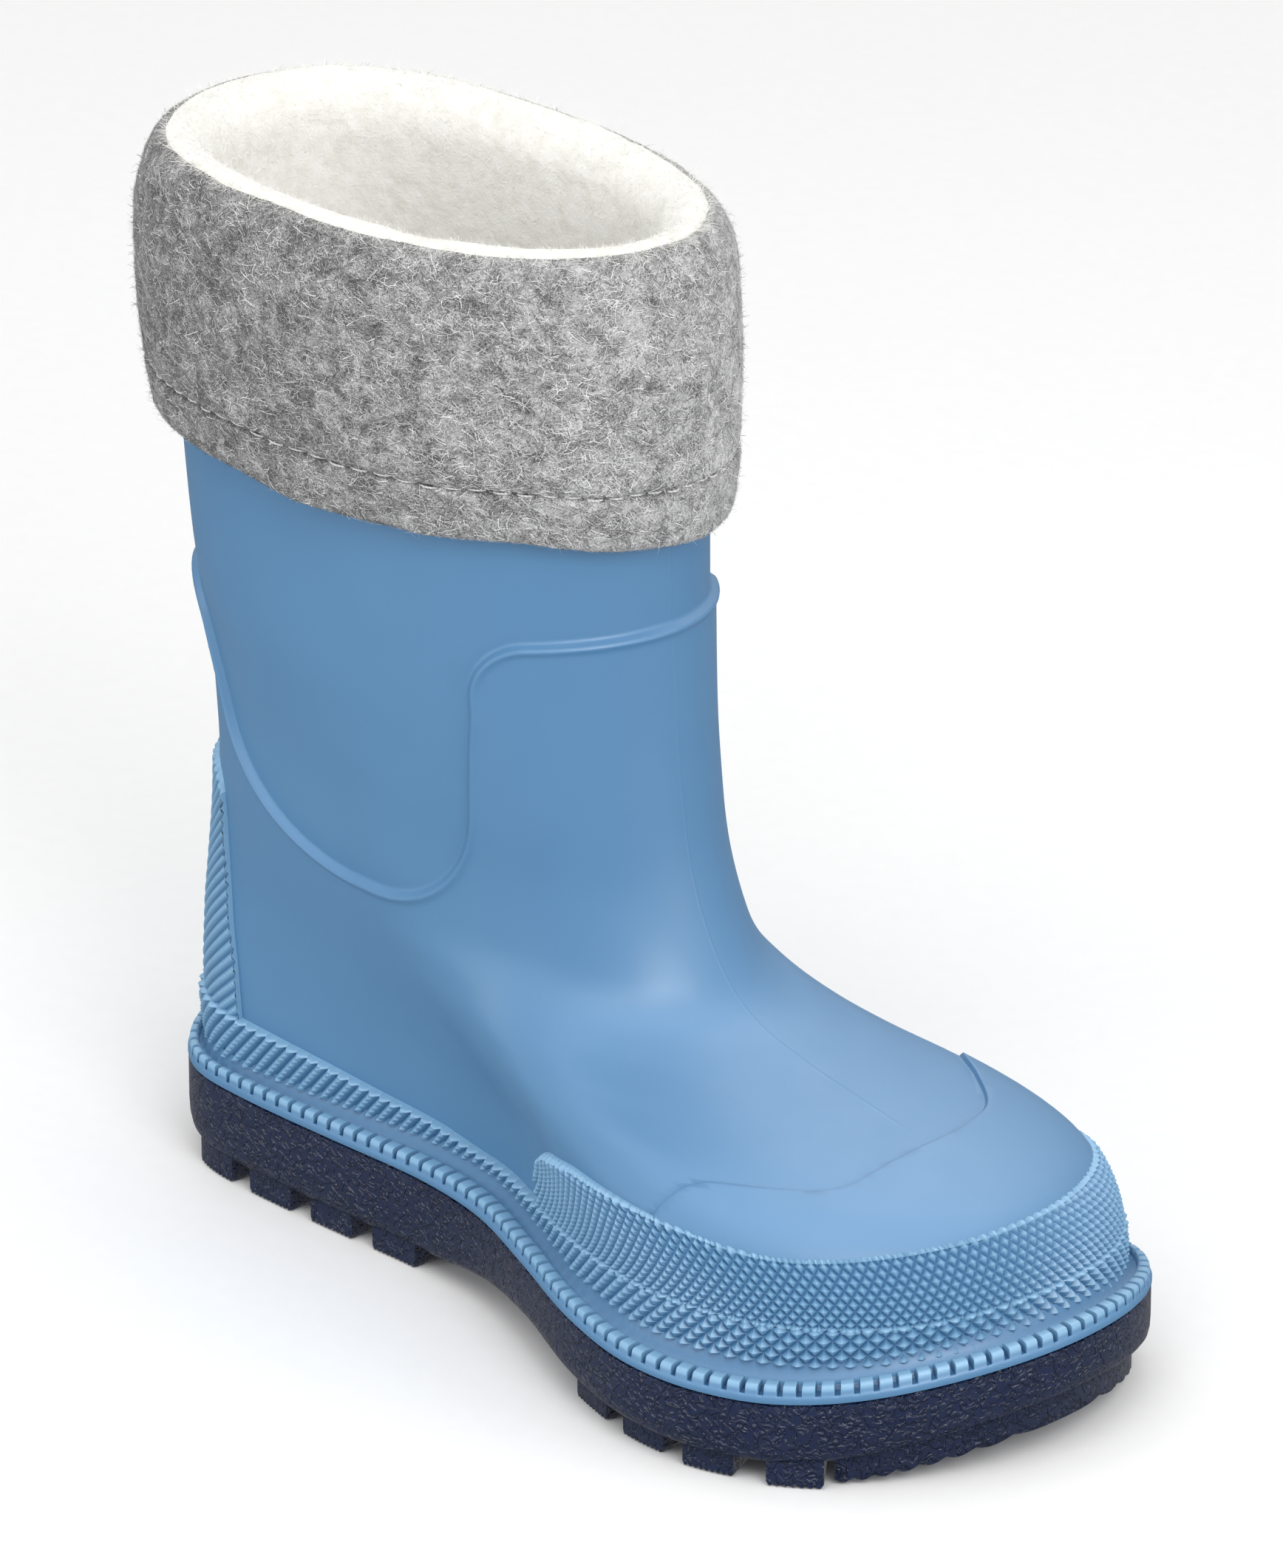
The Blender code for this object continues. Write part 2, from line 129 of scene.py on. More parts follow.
# Fine moulding on the upper: soft edges, the bead round the shaft's panel and the mould line in front.
PANEL_EDGE = 1.3
PANEL_BEAD = 0.6
BEAD_WIDTH = 0.8
CAP_EDGE = 0.55
SEAM_RISE = 0.05
SEAM_WIDTH = 0.0011
SEAM_END = 2.0
SEAM_FADE = 8.0

# Knurled bands: how far their grooves stand out from the wall and their points from the grooves, how
# steeply the grooves lean, the row along which a band is measured, and the rows between which it ends.
RAND = {"floor": 2.0, "rise": 1.25, "lean": 1.0, "row": 0.8, "lowest": 0.4, "highest": 2.5}
BUMPER = {"floor": 1.85, "rise": 0.95, "lean": 1.1, "row": 1.4, "lowest": 0.6, "highest": 3.5}
COUNTER = {"floor": 1.5, "rise": 0.75, "lean": 1.0, "row": 4.0, "lowest": 1.5, "highest": 8.0}
BAND_LEAST = 0.3
LEAST_ROWS = 0.02
BAND_ROOT = 0.3
GROOVE_MARGIN = 8.0
GROOVE_FLAT = 0.08
KNURL_TOP = 0.86
KNURL_ROUND = 1.7
# Shade value that a point stores for the painted highlight on the knurl's points and edges and the welt's
# tooth tops.
PAINTED_HIGHLIGHT_LEVEL = 0.25

# Teeth of the welt, by share of their pitch, and ridges under the lugs.
TOOTH_COUNT = 152
TOOTH_START = 0.14
TOOTH_END = 0.86
TOOTH_ROUND = 0.03
TOOTH_FOOT = 0.04
TOOTH_LAND = 0.09
RIDGE_PITCH = 1.05
RIDGE_DEPTH = 0.75
TIP_PITCH = 2.2
TIP_DEPTH = 0.7

# The felt's wandering hem, its lower rim on the outer side, and where its lumps and its outside start.
HEM_WAVE = 0.8
HEM_RISE = 0.6
HEM_TILT = 1.8
HEM_TILT_ANGLE = 0.95
HEM_FADE = 22.0
CREST_DROP = 1.5
CREST_FADE = 14.0
LUMPS_FROM = CUFF_GAP + 1.0
FACE_FROM = CUFF_GAP + 2.0
# Turn round the cuff where the painted light on the felt is brightest.
FELT_PAINTED_LIGHT_TURN = 0.6

# The felt's stitches, and the groove and the painted shadow that they lie in.
STITCH_LINE = CUFF_HEM + 9.5
STITCH_LENGTH = 3.0
STITCH_PITCH = 4.1
STITCH_THICK = 0.4
STITCH_WANDER = 0.25
STITCH_LIFT = 0.25
STITCH_ARCH = 1.6
STITCH_POINTS = 7
STITCH_SIDES = 6
STITCH_GROOVE = 0.9
STITCH_GROOVE_WIDTH = 0.6
STITCH_SHADOW = 0.6
STITCH_SHADOW_WIDTH = 0.45

# Hairs of the felt, as middles and spreads or as lowest and highest values, and shorter near the stitches.
FELT_HAIRS = 45000
HAIR_POINTS = 3
HAIR_HEADING = (-0.15, 0.75)
HAIR_BEND = 0.7
HAIR_LENGTH = (0.9, 3.0)
HAIR_WIDTH = (0.06, 0.12)
HAIR_TIP = 0.35
HAIR_LIFT = 0.1
HAIR_LIFT_RANGE = 0.16
STRAY_SHARE = 0.1
STRAY_RISE = (0.3, 1.3)
SEAM_HAIR_REACH = 0.8
SEAM_HAIR_SHARE = 0.3

# Pile of the fleece: the rows it covers, its longer hairs on the rim, and how they stand, fall and curl.
FLEECE_HAIRS = 22000
PILE_FIRST = 16
PILE_RIM = 27
PILE_LAST = 88
PILE_CROWD = 1.4
PILE_LENGTH = (0.5, 1.2)
PILE_RIM_LENGTH = 1.6
PILE_STAND = 0.35
PILE_FALL = (-0.8, 0.35)
PILE_CURL = 0.35

# How finely the meshes are divided, and the steps over which slopes are measured.
UPPER_TURNS = 221
UPPER_ROWS = 111
INNER_ROWS = 24
PANEL_CUTS = (-1.2, 3.6, 13)
CAP_CUTS = 6
SEAM_TURNS = 1e-4 * np.array([-30, -18, -11, -5, 5, 11, 18, 30])
SOLE_TURNS = 480
INSOLE_TURNS = 240
CUFF_TURNS = 420
LINING_TURNS = 260
LINING_ROWS = 66
RIDGE_STEPS = 6
BAND_STEP = 0.5
EDGE_STEP = 0.25
CELL_SAMPLES = 80
END_STEPS = 40
FAN_STEPS = 7
LEAST_AREA = 1e-4
ROW_HALVINGS = 30
GROOVE_HALVINGS = 32
COLLAR_ROW = 7
LINE_STEP = 1e-4
WALL_STEP = 1e-3
BODY_TURN_STEP = 2e-4
BODY_ROW_STEP = 4e-3

# Colours, as linear red, green and blue.
BLUE_DEEP = (0.060, 0.168, 0.314)
BLUE_LIGHT = (0.065, 0.178, 0.328)
# Painted highlight on the knurl's points and the welt's tooth tops, a weaker painted highlight on their
# flanks, and painted shade in their grooves and gaps, as factors on the blue.
TIP_PAINTED_HIGHLIGHT = (2.6, 1.85, 1.5)
FLANK_PAINTED_HIGHLIGHT = (1.35, 1.22, 1.12)
GROOVE_PAINTED_SHADE = (0.88, 0.92, 0.95)
NAVY_DEEP = (0.006, 0.013, 0.042)
NAVY_LIGHT = (0.008, 0.016, 0.050)
FELT_DARK = (0.05, 0.05, 0.05)
FELT_MID = (0.23, 0.23, 0.23)
FELT_LIGHT = (0.56, 0.56, 0.56)
FIBRE_DARK = (0.03, 0.03, 0.03)
FIBRE_LIGHT = (0.80, 0.80, 0.80)
FLEECE_DEEP = (0.73, 0.72, 0.665)
FLEECE_LIGHT = (0.81, 0.80, 0.77)
INSOLE_DARK = (0.42, 0.41, 0.39)
INSOLE_LIGHT = (0.62, 0.61, 0.58)
THREAD_DARK = (0.42, 0.42, 0.415)
THREAD_LIGHT = (0.62, 0.62, 0.61)
FLOOR_DEEP = (0.86, 0.86, 0.86)
FLOOR_LIGHT = (0.89, 0.89, 0.89)

# Lights: name, side and height in degrees, distance and size in millimetres, watts, and whether only
# gloss shows it.
LIGHTS = (
    ("key", 68.0, 38.0, 1400.0, 700.0, 6.5, False),
    ("fill", -20.0, 10.0, 1500.0, 1000.0, 8.0, False),
    ("right", 108.0, 12.0, 1500.0, 1000.0, 6.5, False),
    ("front", 30.0, 55.0, 1400.0, 900.0, 5.0, False),
    ("spot", 68.0, 38.0, 1400.0, 520.0, 10.0, True),
    ("sheen", 220.0, 74.0, 1000.0, 1560.0, 23.0, True),
    ("wide_sheen", 220.0, 86.0, 600.0, 2570.0, 12.5, True),
)
SKY_LIGHT = 0.78
SKY_DARK = 0.3
FLOOR_HALF = 6000.0
FLOOR_DROP = 0.05


def table(columns, *rows):
    """A dictionary of named columns, each an array with one value for each row."""
    return dict(zip(columns, np.array(rows, float).T))


# Half width of the sole on each side before its round ends are taken off, by share of its length.
SOLE = table(
    ("share", "inner", "outer"),
    (0.00, 58.0, 58.0),
    (0.05, 54.5, 54.5),
    (0.15, 42.0, 42.0),
    (0.30, 32.6, 34.0),
    (0.385, 30.7, 32.8),
    (0.46, 32.0, 33.0),
    (0.55, 38.5, 35.0),
    (0.65, 48.3, 37.5),
    (0.735, 56.0, 40.6),
    (0.81, 61.0, 46.4),
    (0.875, 63.7, 56.0),
    (0.94, 64.5, 64.5),
    (1.00, 62.0, 69.0),
)

# Heights along the sole: the seat of the welt, and the lower edge of the side wall.
HEIGHTS = table(
    ("x", "seat", "edge"),
    (0.0, 18.0, 9.5),
    (8.0, 18.0, 6.0),
    (20.0, 18.0, 4.2),
    (75.0, 18.0, 4.0),
    (92.0, 17.7, 5.8),
    (108.0, 17.3, 6.8),
    (124.0, 16.7, 5.6),
    (142.0, 15.8, 4.6),
    (165.0, 15.3, 4.0),
    (180.0, 16.6, 5.6),
    (190.0, 19.0, 9.0),
    (195.0, 20.5, 11.0),
)

# Lines along the upper: top of the rand that runs all round, and top of the bumper round the toe.
BANDS = table(
    ("x", "rand", "bumper"),
    (0.0, 30.5, 37.0),
    (20.0, 29.8, 37.0),
    (40.0, 28.2, 37.0),
    (57.0, 26.3, 37.0),
    (70.0, 25.0, 37.0),
    (84.0, 23.6, 35.5),
    (97.0, 23.6, 35.5),
    (108.0, 24.4, 36.6),
    (122.0, 26.0, 38.8),
    (145.0, 26.8, 37.4),
    (165.0, 26.2, 35.6),
    (180.0, 26.6, 36.4),
    (190.0, 29.0, 37.4),
)

# Edge of the toe cap across the foot.
CAP = table(
    ("y", "x"),
    (-46.0, 139.5),
    (-37.0, 140.8),
    (-32.0, 144.0),
    (-26.6, 152.4),
    (-20.6, 159.4),
    (-10.7, 162.0),
    (2.0, 162.0),
    (13.0, 160.5),
    (20.0, 157.0),
    (25.0, 149.5),
    (29.0, 142.0),
    (36.0, 137.5),
    (46.0, 136.0),
)

# Main lugs of the tread: where each row starts and ends along the sole, and how far in from its edge.
LUG_ROWS = table(
    ("start", "end", "inset"),
    (15.2, 25.8, 1.2),
    (30.6, 41.0, 1.2),
    (46.0, 56.0, 1.2),
    (61.0, 71.2, 1.2),
    (122.6, 132.8, 3.4),
    (138.2, 148.4, 3.2),
    (153.6, 163.0, 2.2),
    (168.4, 176.2, 1.2),
)

# Sections of the upper from the welt to its top edge. Each is a closed ring from a point at the back
# to a point at the front, with a half width on each side. heel_full and toe_full widen the two ends
# of its oval, sole_like says how far it follows the outline of the sole (1) rather than the oval, and
# dip how far it follows the heights of the seat.
SECTIONS = table(
    (
        ("back_x", "back_y", "back_z", "front_x", "front_y", "front_z")
        + ("inner", "outer", "heel_full", "toe_full", "sole_like", "dip")
    ),
    (6.2, 0.0, 18.3, 187.3, 3.0, 20.5, 30.0, 30.0, 0.25, 0.1, 1.00, 1.0),
    (4.3, 0.0, 27.0, 187.0, 3.0, 29.5, 29.5, 29.5, 0.25, 0.1, 0.98, 0.7),
    (3.8, 0.0, 36.0, 181.6, 2.5, 37.8, 29.0, 29.0, 0.25, 0.1, 0.92, 0.2),
    (3.8, 0.0, 45.0, 166.0, 2.0, 43.4, 27.6, 25.5, 0.34, 0.0, 0.67, 0.0),
    (4.2, 0.0, 54.0, 149.9, 1.5, 46.8, 27.0, 24.2, 0.38, -0.1, 0.38, 0.0),
    (5.2, 0.0, 63.0, 135.0, 1.0, 49.9, 27.2, 25.4, 0.4, -0.1, 0.16, 0.0),
    (6.4, 0.0, 72.0, 122.5, 0.5, 54.2, 27.8, 27.0, 0.4, -0.12, 0.05, 0.0),
    (7.2, 0.0, 81.0, 114.6, 0.5, 61.0, 28.6, 28.5, 0.38, -0.1, 0.00, 0.0),
    (7.4, 0.0, 91.0, 108.4, 0.5, 73.0, 29.5, 29.0, 0.36, -0.05, 0.00, 0.0),
    (6.4, -0.5, 102.0, 105.2, 0.5, 88.0, 31.0, 29.5, 0.31, 0.0, 0.00, 0.0),
    (3.4, -1.0, 120.0, 103.4, 0.5, 112.0, 32.5, 31.0, 0.32, 0.0, 0.00, 0.0),
    (-1.3, -1.5, RUBBER_TOP, 103.0, 0.5, RUBBER_TOP, 33.5, 32.0, 0.32, 0.0, 0.00, 0.0),
)
TOP_ROW = len(SECTIONS["back_x"]) - 1.0

# Knurl pitch and depth along each band by distance from its middle, for each way that its grooves run.
KNURL_COLUMNS = ("reach", "first", "second", "first_depth", "second_depth")
RAND_KNURL = table(
    KNURL_COLUMNS,
    (0, 2.75, 2.75, 1.0, 1.0),
    (60, 2.75, 2.75, 1.0, 1.0),
    (105, 2.6, 1.9, 1.0, 0.5),
    (260, 2.6, 1.9, 1.0, 0.5),
)
BUMPER_KNURL = table(KNURL_COLUMNS, (0, 1.95, 1.95, 1, 1), (70, 1.95, 1.95, 1, 1), (130, 2.3, 2.1, 1, 1))
COUNTER_KNURL = table(KNURL_COLUMNS, (0, 1.3, 2.2, 0.4, 1.0), (40, 1.3, 2.2, 0.4, 1.0))
GROOVE_COLUMNS = ("pitch_a", "count_a", "pitch_b", "count_b")

# Where the points of each diamond lie across it.
DIAMOND = np.array([0.0, 0.06, 0.26, 0.5, 0.74, 0.94, 1.0])

# Edge sections of a knurled band: how far beyond its edge, and the share of its height left there.
RAND_EDGE = table(("beyond", "share"), (0.0, 1.0), (0.2, 0.96), (0.4, 0.8), (0.5, 0.0))
SOFT_EDGE = table(("beyond", "share"), (0.0, 1.0), (0.3, 0.97), (0.6, 0.85), (0.85, 0.6), (1.0, 0.0))

# Section of the welt from its rim (share 0) to the upper (share 1), between its teeth and on a tooth, and
# the rows whose colour gets painted shade between the teeth and a painted highlight on their tops.
WELT_SECTION = table(
    ("share", "rise", "tooth_share", "tooth_rise", "painted_rows"),
    (0.00, 0.00, 0.00, 0.00, 0),
    (-0.03, 0.40, -0.03, 0.40, 0),
    (-0.03, 1.00, -0.03, 1.00, 0),
    (0.01, 1.35, 0.01, 1.35, 0),
    (0.05, 1.40, 0.04, 1.50, 0),
    (0.10, 1.25, 0.07, 2.40, 1),
    (0.16, 1.10, 0.11, 2.85, 1),
    (0.24, 1.10, 0.20, 3.00, 1),
    (0.36, 1.10, 0.36, 3.05, 1),
    (0.50, 1.10, 0.50, 3.00, 1),
    (0.57, 1.20, 0.57, 2.85, 1),
    (0.61, 1.50, 0.61, 2.30, 1),
    (0.64, 1.75, 0.64, 1.75, 0),
    (0.76, 1.80, 0.76, 1.80, 0),
    (0.88, 2.10, 0.88, 2.10, 0),
    (1.00, 2.80, 1.00, 2.80, 0),
    (1.09, 3.70, 1.09, 3.70, 0),
    (1.15, 4.60, 1.15, 4.60, 0),
    (1.17, 0.00, 1.17, 0.00, 0),
)

# Side of the outsole from its seat to its underside: inset, and rise above the seat or the lower edge.
SOLE_SIDE = table(
    ("inset", "rise", "on_edge"),
    (9.0, 0.0, 0),
    (0.5, 0.0, 0),
    (0.1, -0.25, 0),
    (0.0, -0.8, 0),
    (0.0, -3.0, 0),
    (0.0, 5.0, 1),
    (0.1, 3.0, 1),
    (0.4, 1.6, 1),
    (1.0, 0.7, 1),
    (1.9, 0.2, 1),
    (3.0, 0.0, 1),
)

# Where the points of a lug lie across it.
LUG_ACROSS = np.array([0.0, 0.0, 0.04, 0.3, 0.7, 0.96, 1.0, 1.0])

# Side of the insole from its underside to its top: inset, and rise above its underside.
INSOLE_SIDE = table(
    ("inset", "rise"),
    (0.6, 0.0),
    (0.1, 0.5),
    (0.0, 1.4),
    (0.1, 2.9),
    (0.6, 3.6),
    (1.6, 4.0),
    (6.0, 3.8),
    (14.0, 3.5),
)

# Lumps of the insole, the felt and the fleece.
INSOLE_LUMPS = table(("size", "rise"), (5.0, 0.15))
FELT_LUMPS = table(("size", "rise"), (19.0, 0.5), (6.0, 0.24), (2.4, 0.16))
FLEECE_LUMPS = table(("size", "rise"), (9.0, 0.3), (3.0, 0.12))

# Waves of the cuff's hem: share of its wander, waves round the cuff and where they start.
HEM_WAVES = table(("size", "waves", "shift"), (0.6, 3.0, 0.6), (0.5, 5.0, 2.0), (0.3, 11.0, 0.0))

# Section of the felt cuff, as distance out from the shaft and height: up its outside, over and down.
# The outside ends at row CUFF_FACE.
CUFF_SECTION = table(
    ("out", "z"),
    (2.2, CUFF_HEM - 0.5),
    (FELT_FACE - 1.5, CUFF_HEM - 0.2),
    (FELT_FACE - 0.8, CUFF_HEM + 1.8),
    (FELT_FACE - 0.1, STITCH_LINE - 2.0),
    (FELT_FACE, STITCH_LINE - 0.8),
    (FELT_FACE, STITCH_LINE),
    (FELT_FACE, STITCH_LINE + 0.8),
    (FELT_FACE + 0.2, CUFF_HEM + BELLY_RISE),
    (FELT_FACE + 0.2, CUFF_HEM + 25.0),
    (FELT_FACE, CUFF_CREST - 15.0),
    (FELT_FACE - 0.5, CUFF_CREST - 10.0),
    (FELT_FACE - 1.4, CUFF_CREST - 6.0),
    (FELT_FACE - 2.6, CUFF_CREST - 3.0),
    (FELT_FACE - 4.0, CUFF_CREST - 0.9),
    (CUFF_GAP - 1.4, CUFF_CREST),
    (CUFF_GAP - 1.4, CUFF_CREST - 4.0),
    (CUFF_GAP, RUBBER_TOP + 1.0),
    (CUFF_GAP, CUFF_HEM + 18.0),
    (CUFF_GAP + 0.3, CUFF_HEM + 0.6),
)
CUFF_FACE = 14

# Section of the fleece above the rubber, over the fold and down inside the collar.
FLEECE_SECTION = table(
    ("out", "z"),
    (-2.7, RUBBER_TOP),
    (-1.0, RUBBER_TOP + 3.5),
    (-0.9, CUFF_CREST - 4.0),
    (-0.5, CUFF_CREST - 1.0),
    (-0.2, CUFF_CREST - 0.2),
    (-0.9, FLEECE_TOP - 0.4),
    (-2.4, FLEECE_TOP),
    (-4.2, FLEECE_TOP - 0.4),
    (-5.9, FLEECE_TOP - 1.8),
    (-7.3, FLEECE_TOP - 3.9),
    (-8.2, FLEECE_TOP - 6.6),
    (-8.5, FLEECE_TOP - 10.0),
    (-8.6, RUBBER_TOP),
)

# Thickness of the fleece against the wall below that, by row of the upper.
FLEECE_WALL = table(("row", "thick"), (10.9, 6.0), (9.4, 6.2), (8.4, 5.4), (6.0, 3.6), (0.7, 2.6))


def curve(knots, values, at):
    """A smooth curve through (knot, value) pairs that stays between them, read at a number or an array."""
    at = np.clip(at, knots[0], knots[-1])
    step = np.diff(knots)
    slope = np.diff(values) / step
    before, after = slope[:-1], slope[1:]
    inside = (before * step[1:] + after * step[:-1]) / (step[1:] + step[:-1])
    limit = 3 * np.minimum(abs(before), abs(after)) * (before * after > 0)
    tangent = np.concatenate([slope[:1], np.clip(inside, -limit, limit), slope[-1:]])
    i = np.clip(np.searchsorted(knots, at, side="right") - 1, 0, len(step) - 1)
    t = (at - knots[i]) / step[i]
    start = (1 + 2 * t) * (1 - t) ** 2 * values[i] + t * (1 - t) ** 2 * step[i] * tangent[i]
    end = t**2 * (3 - 2 * t) * values[i + 1] + t**2 * (t - 1) * step[i] * tangent[i + 1]
    return start + end


def read(columns, by, at, *names):
    """Several columns of a table, read where one of its columns has the given values."""
    return [np.interp(at, columns[by], columns[name]) for name in names]


def around(turn):
    """Share of the way from back to front, and signed width factor, at a turn from 0 to 1.

    Turn 0 is the back, 0.25 the inner side, 0.5 the front and 0.75 the outer side.
    """
    angle = 2 * math.pi * np.asarray(turn)
    return (1 - np.cos(angle)) / 2, -np.sin(angle)


def side_width(width, inner, outer):
    return np.where(width < 0, inner, outer)


def sole_half(share, width):
    """Half width of the sole by share of its length, on the side that the width factor points to."""
    return side_width(width, *(curve(SOLE["share"], SOLE[side], share) for side in ("inner", "outer")))


def sole_line(turn, inset=0.0):
    """(x, y) on the outline of the sole, moved in by inset."""

    def line(at):
        share, width = around(at)
        return np.stack([SOLE_LENGTH * share, TOE_OFFSET * share**3 + width * sole_half(share, width)], -1)

    tangent = line(turn + LINE_STEP) - line(turn - LINE_STEP)
    inward = np.stack([-tangent[..., 1], tangent[..., 0]], -1)
    return line(turn) + inset * inward / np.linalg.norm(inward, axis=-1, keepdims=True)


def height(name, x):
    return curve(HEIGHTS["x"], HEIGHTS[name], x)


def upper_base(turn, row):
    """A point of the upper's outer wall without its raised parts."""
    turn, row = np.broadcast_arrays(np.asarray(turn, float), np.asarray(row, float))
    at = {name: curve(np.arange(TOP_ROW + 1), SECTIONS[name], row) for name in SECTIONS}
    share, width = around(turn)
    full = np.where(share < 0.5, at["heel_full"], at["toe_full"])
    oval = side_width(width, at["inner"], at["outer"]) * (1 + full * (2 * share - 1) ** 2)
    on_sole = sole_half(share, width) - side_width(width, WELT_INNER, WELT_OUTER)
    half = at["sole_like"] * on_sole + (1 - at["sole_like"]) * oval
    x, y, z = (at["back_" + k] + (at["front_" + k] - at["back_" + k]) * share for k in "xyz")
    straight = SECTIONS["back_z"][0] + (SECTIONS["front_z"][0] - SECTIONS["back_z"][0]) * share
    return np.stack([x, y + width * half, z + at["dip"] * (height("seat", x) + SEAT_GAP - straight)], -1)


def normal_at(surface, turn, row, turn_step, row_step):
    """Outward unit normal of a surface over the turns and rows of the upper."""
    low, high = np.maximum(row - row_step, 0.0), np.minimum(row + row_step, TOP_ROW)
    along = surface(turn + turn_step, row) - surface(turn - turn_step, row)
    return unit(np.cross(along, surface(turn, high) - surface(turn, low)))


def both(first, second, radius):
    """Inside both of two regions, as a distance, with the corner between them rounded."""
    corner = np.hypot(np.maximum(radius - first, 0), np.maximum(radius - second, 0))
    return np.where(np.maximum(first, second) > radius, np.minimum(first, second), radius - corner)


def rand_field(turn, point):
    """How far inside the rand a point is, and so for the other fields below."""
    return curve(BANDS["x"], BANDS["rand"], point[..., 0]) - point[..., 2]


def bumper_field(turn, point):
    below = curve(BANDS["x"], BANDS["bumper"], point[..., 0]) - point[..., 2]
    return both(below, point[..., 0] - BUMPER_START, BUMPER_ROUND)


def cap_field(turn, point):
    return point[..., 0] - curve(CAP["y"], CAP["x"], point[..., 1])


def counter_field(turn, point):
    reach = COUNTER_REACH - GIRTH * np.minimum(turn, 1 - turn)
    return both(reach, COUNTER_TOP - point[..., 2], COUNTER_ROUND)


def panel_field(turn, point):
    """The thicker wall of the foot and ankle, around a thinner window on each side of the shaft."""
    along = GIRTH * np.minimum(turn, 1 - turn)
    z = point[..., 2]
    rear = PANEL_REAR - PANEL_REAR_SHIFT * (z - PANEL_REAR_LOW) / (PANEL_REAR_HIGH - PANEL_REAR_LOW)
    front = PANEL_FRONT - PANEL_FRONT_LEAN * np.maximum(PANEL_FRONT_TOP - z, 0.0)
    window = both(z - PANEL_FLOOR, np.minimum(along - rear, front - along), PANEL_ROUND)
    band = z - (PANEL_BAND_BACK + (PANEL_BAND_FRONT - PANEL_BAND_BACK) * around(turn)[0])
    return both(-window, -band, PANEL_CORNER)


def tent(phase):
    """0 at whole phases and 1 halfway between them."""
    return 1.0 - abs(2.0 * (phase - np.floor(phase)) - 1.0)


def smooth(value, width=1.0):
    """0 below zero, 1 above the width, and an S-shaped slope between them."""
    share = np.clip(np.asarray(value) / width, 0.0, 1.0)
    return share * share * (3.0 - 2.0 * share)


def hump(value, width):
    """1 at zero, falling off smoothly on both sides of it."""
    return np.exp(-((value / width) ** 2))


SHUFFLE = np.random.default_rng(11).permutation(256)


def noise(points, size):
    """Smooth noise from -1 to 1 at points, with lumps about as large as size."""
    cell = np.floor(points / size).astype(int)
    part = smooth(points / size - cell)
    total = np.zeros(points.shape[:-1])
    for corner in np.ndindex(2, 2, 2):
        x, y, z = np.moveaxis(cell + corner, -1, 0) & 255
        value = SHUFFLE[(SHUFFLE[(SHUFFLE[x] + y) & 255] + z) & 255] / 127.5 - 1.0
        total += value * np.prod(np.where(corner, part, 1.0 - part), -1)
    return total


def lumpy(points, layers):
    """Noise in layers, each with the size and the rise of its lumps."""
    return sum(rise * noise(points, size) for size, rise in zip(*layers.values()))


def unit(vectors):
    return vectors / np.linalg.norm(vectors, axis=-1, keepdims=True)


def at_height(line, z):
    return np.concatenate([line, np.broadcast_to(z, line.shape[:-1])[..., None]], -1)


def collar_point(turn, z, out):
    """A point at a height on the shaft's outer wall, carried on upward above the rubber, moved out."""
    turn, z, out = np.broadcast_arrays(turn, z, out)
    row = np.interp(z, SECTIONS["front_z"][COLLAR_ROW:], np.arange(COLLAR_ROW, TOP_ROW + 1))
    step = upper_base(turn + WALL_STEP, row) - upper_base(turn - WALL_STEP, row)
    outward = unit(np.stack([step[..., 1], -step[..., 0]], -1))
    return at_height(upper_base(turn, row)[..., :2] + out[..., None] * outward, z)


def wall_point(turn, row, out):
    """A point of the upper's wall, moved out from it."""
    turn, row, out = np.broadcast_arrays(turn, row, out)
    return upper_base(turn, row) + out[..., None] * normal_at(upper_base, turn, row, WALL_STEP, WALL_STEP)


def middle():
    """The point on the floor under the middle of the whole boot."""
    turn = np.arange(400) / 400
    cuff = collar_point(turn, CUFF_HEM + BELLY_RISE, FELT_FACE + BELLY_OUT)[:, :2]
    plan = np.concatenate([sole_line(turn), cuff])
    return np.append((plan.min(0) + plan.max(0)) / 2, 0.0)


ORIGIN = middle()


def add_mesh(name, points, faces, look, slot, replaces=(), normals=None, crease=None, shade=None):
    """A piece of the boot from points in millimetres and faces with equally many corners."""
    points, faces = points.reshape(-1, 3), np.asarray(faces, np.int32)
    mesh = bpy.data.meshes.new(name)
    mesh.vertices.add(len(points))
    mesh.vertices.foreach_set("co", ((points - ORIGIN) * MM).astype(np.float32).ravel())
    mesh.loops.add(faces.size)
    mesh.loops.foreach_set("vertex_index", faces.ravel())
    mesh.polygons.add(len(faces))
    mesh.polygons.foreach_set("loop_start", np.arange(0, faces.size, faces.shape[1], dtype=np.int32))
    mesh.update(calc_edges=True)
    mesh.validate()
    if crease:
        mesh.set_sharp_from_angle(angle=math.radians(crease))
    if normals is not None:
        mesh.normals_split_custom_set_from_vertices(normals.astype(np.float32))
    if shade is not None:
        mesh.attributes.new("shade", "FLOAT", "POINT").data.foreach_set("value", shade.astype(np.float32))
    mesh.materials.append(look)
    made = bpy.data.objects.new(name, mesh)
    bpy.context.scene.collection.objects.link(made)
    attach(made, "root")
    if replaces:
        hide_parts(*replaces)
    return made


def grid_faces(count_u, count_v, wrap_u=False, wrap_v=False):
    """Quads of a grid of points, which may close on itself either way."""
    u = np.arange(count_u if wrap_u else count_u - 1)[:, None]
    v = np.arange(count_v if wrap_v else count_v - 1)[None]
    steps = ((0, 0), (1, 0), (1, 1), (0, 1))
    corners = [((u + du) % count_u) * count_v + (v + dv) % count_v for du, dv in steps]
    return np.stack(corners, -1).reshape(-1, 4)


def as_grid(points, wrap_u=False, wrap_v=False):
    """A grid of points and its quads."""
    return points, grid_faces(*points.shape[:2], wrap_u, wrap_v)


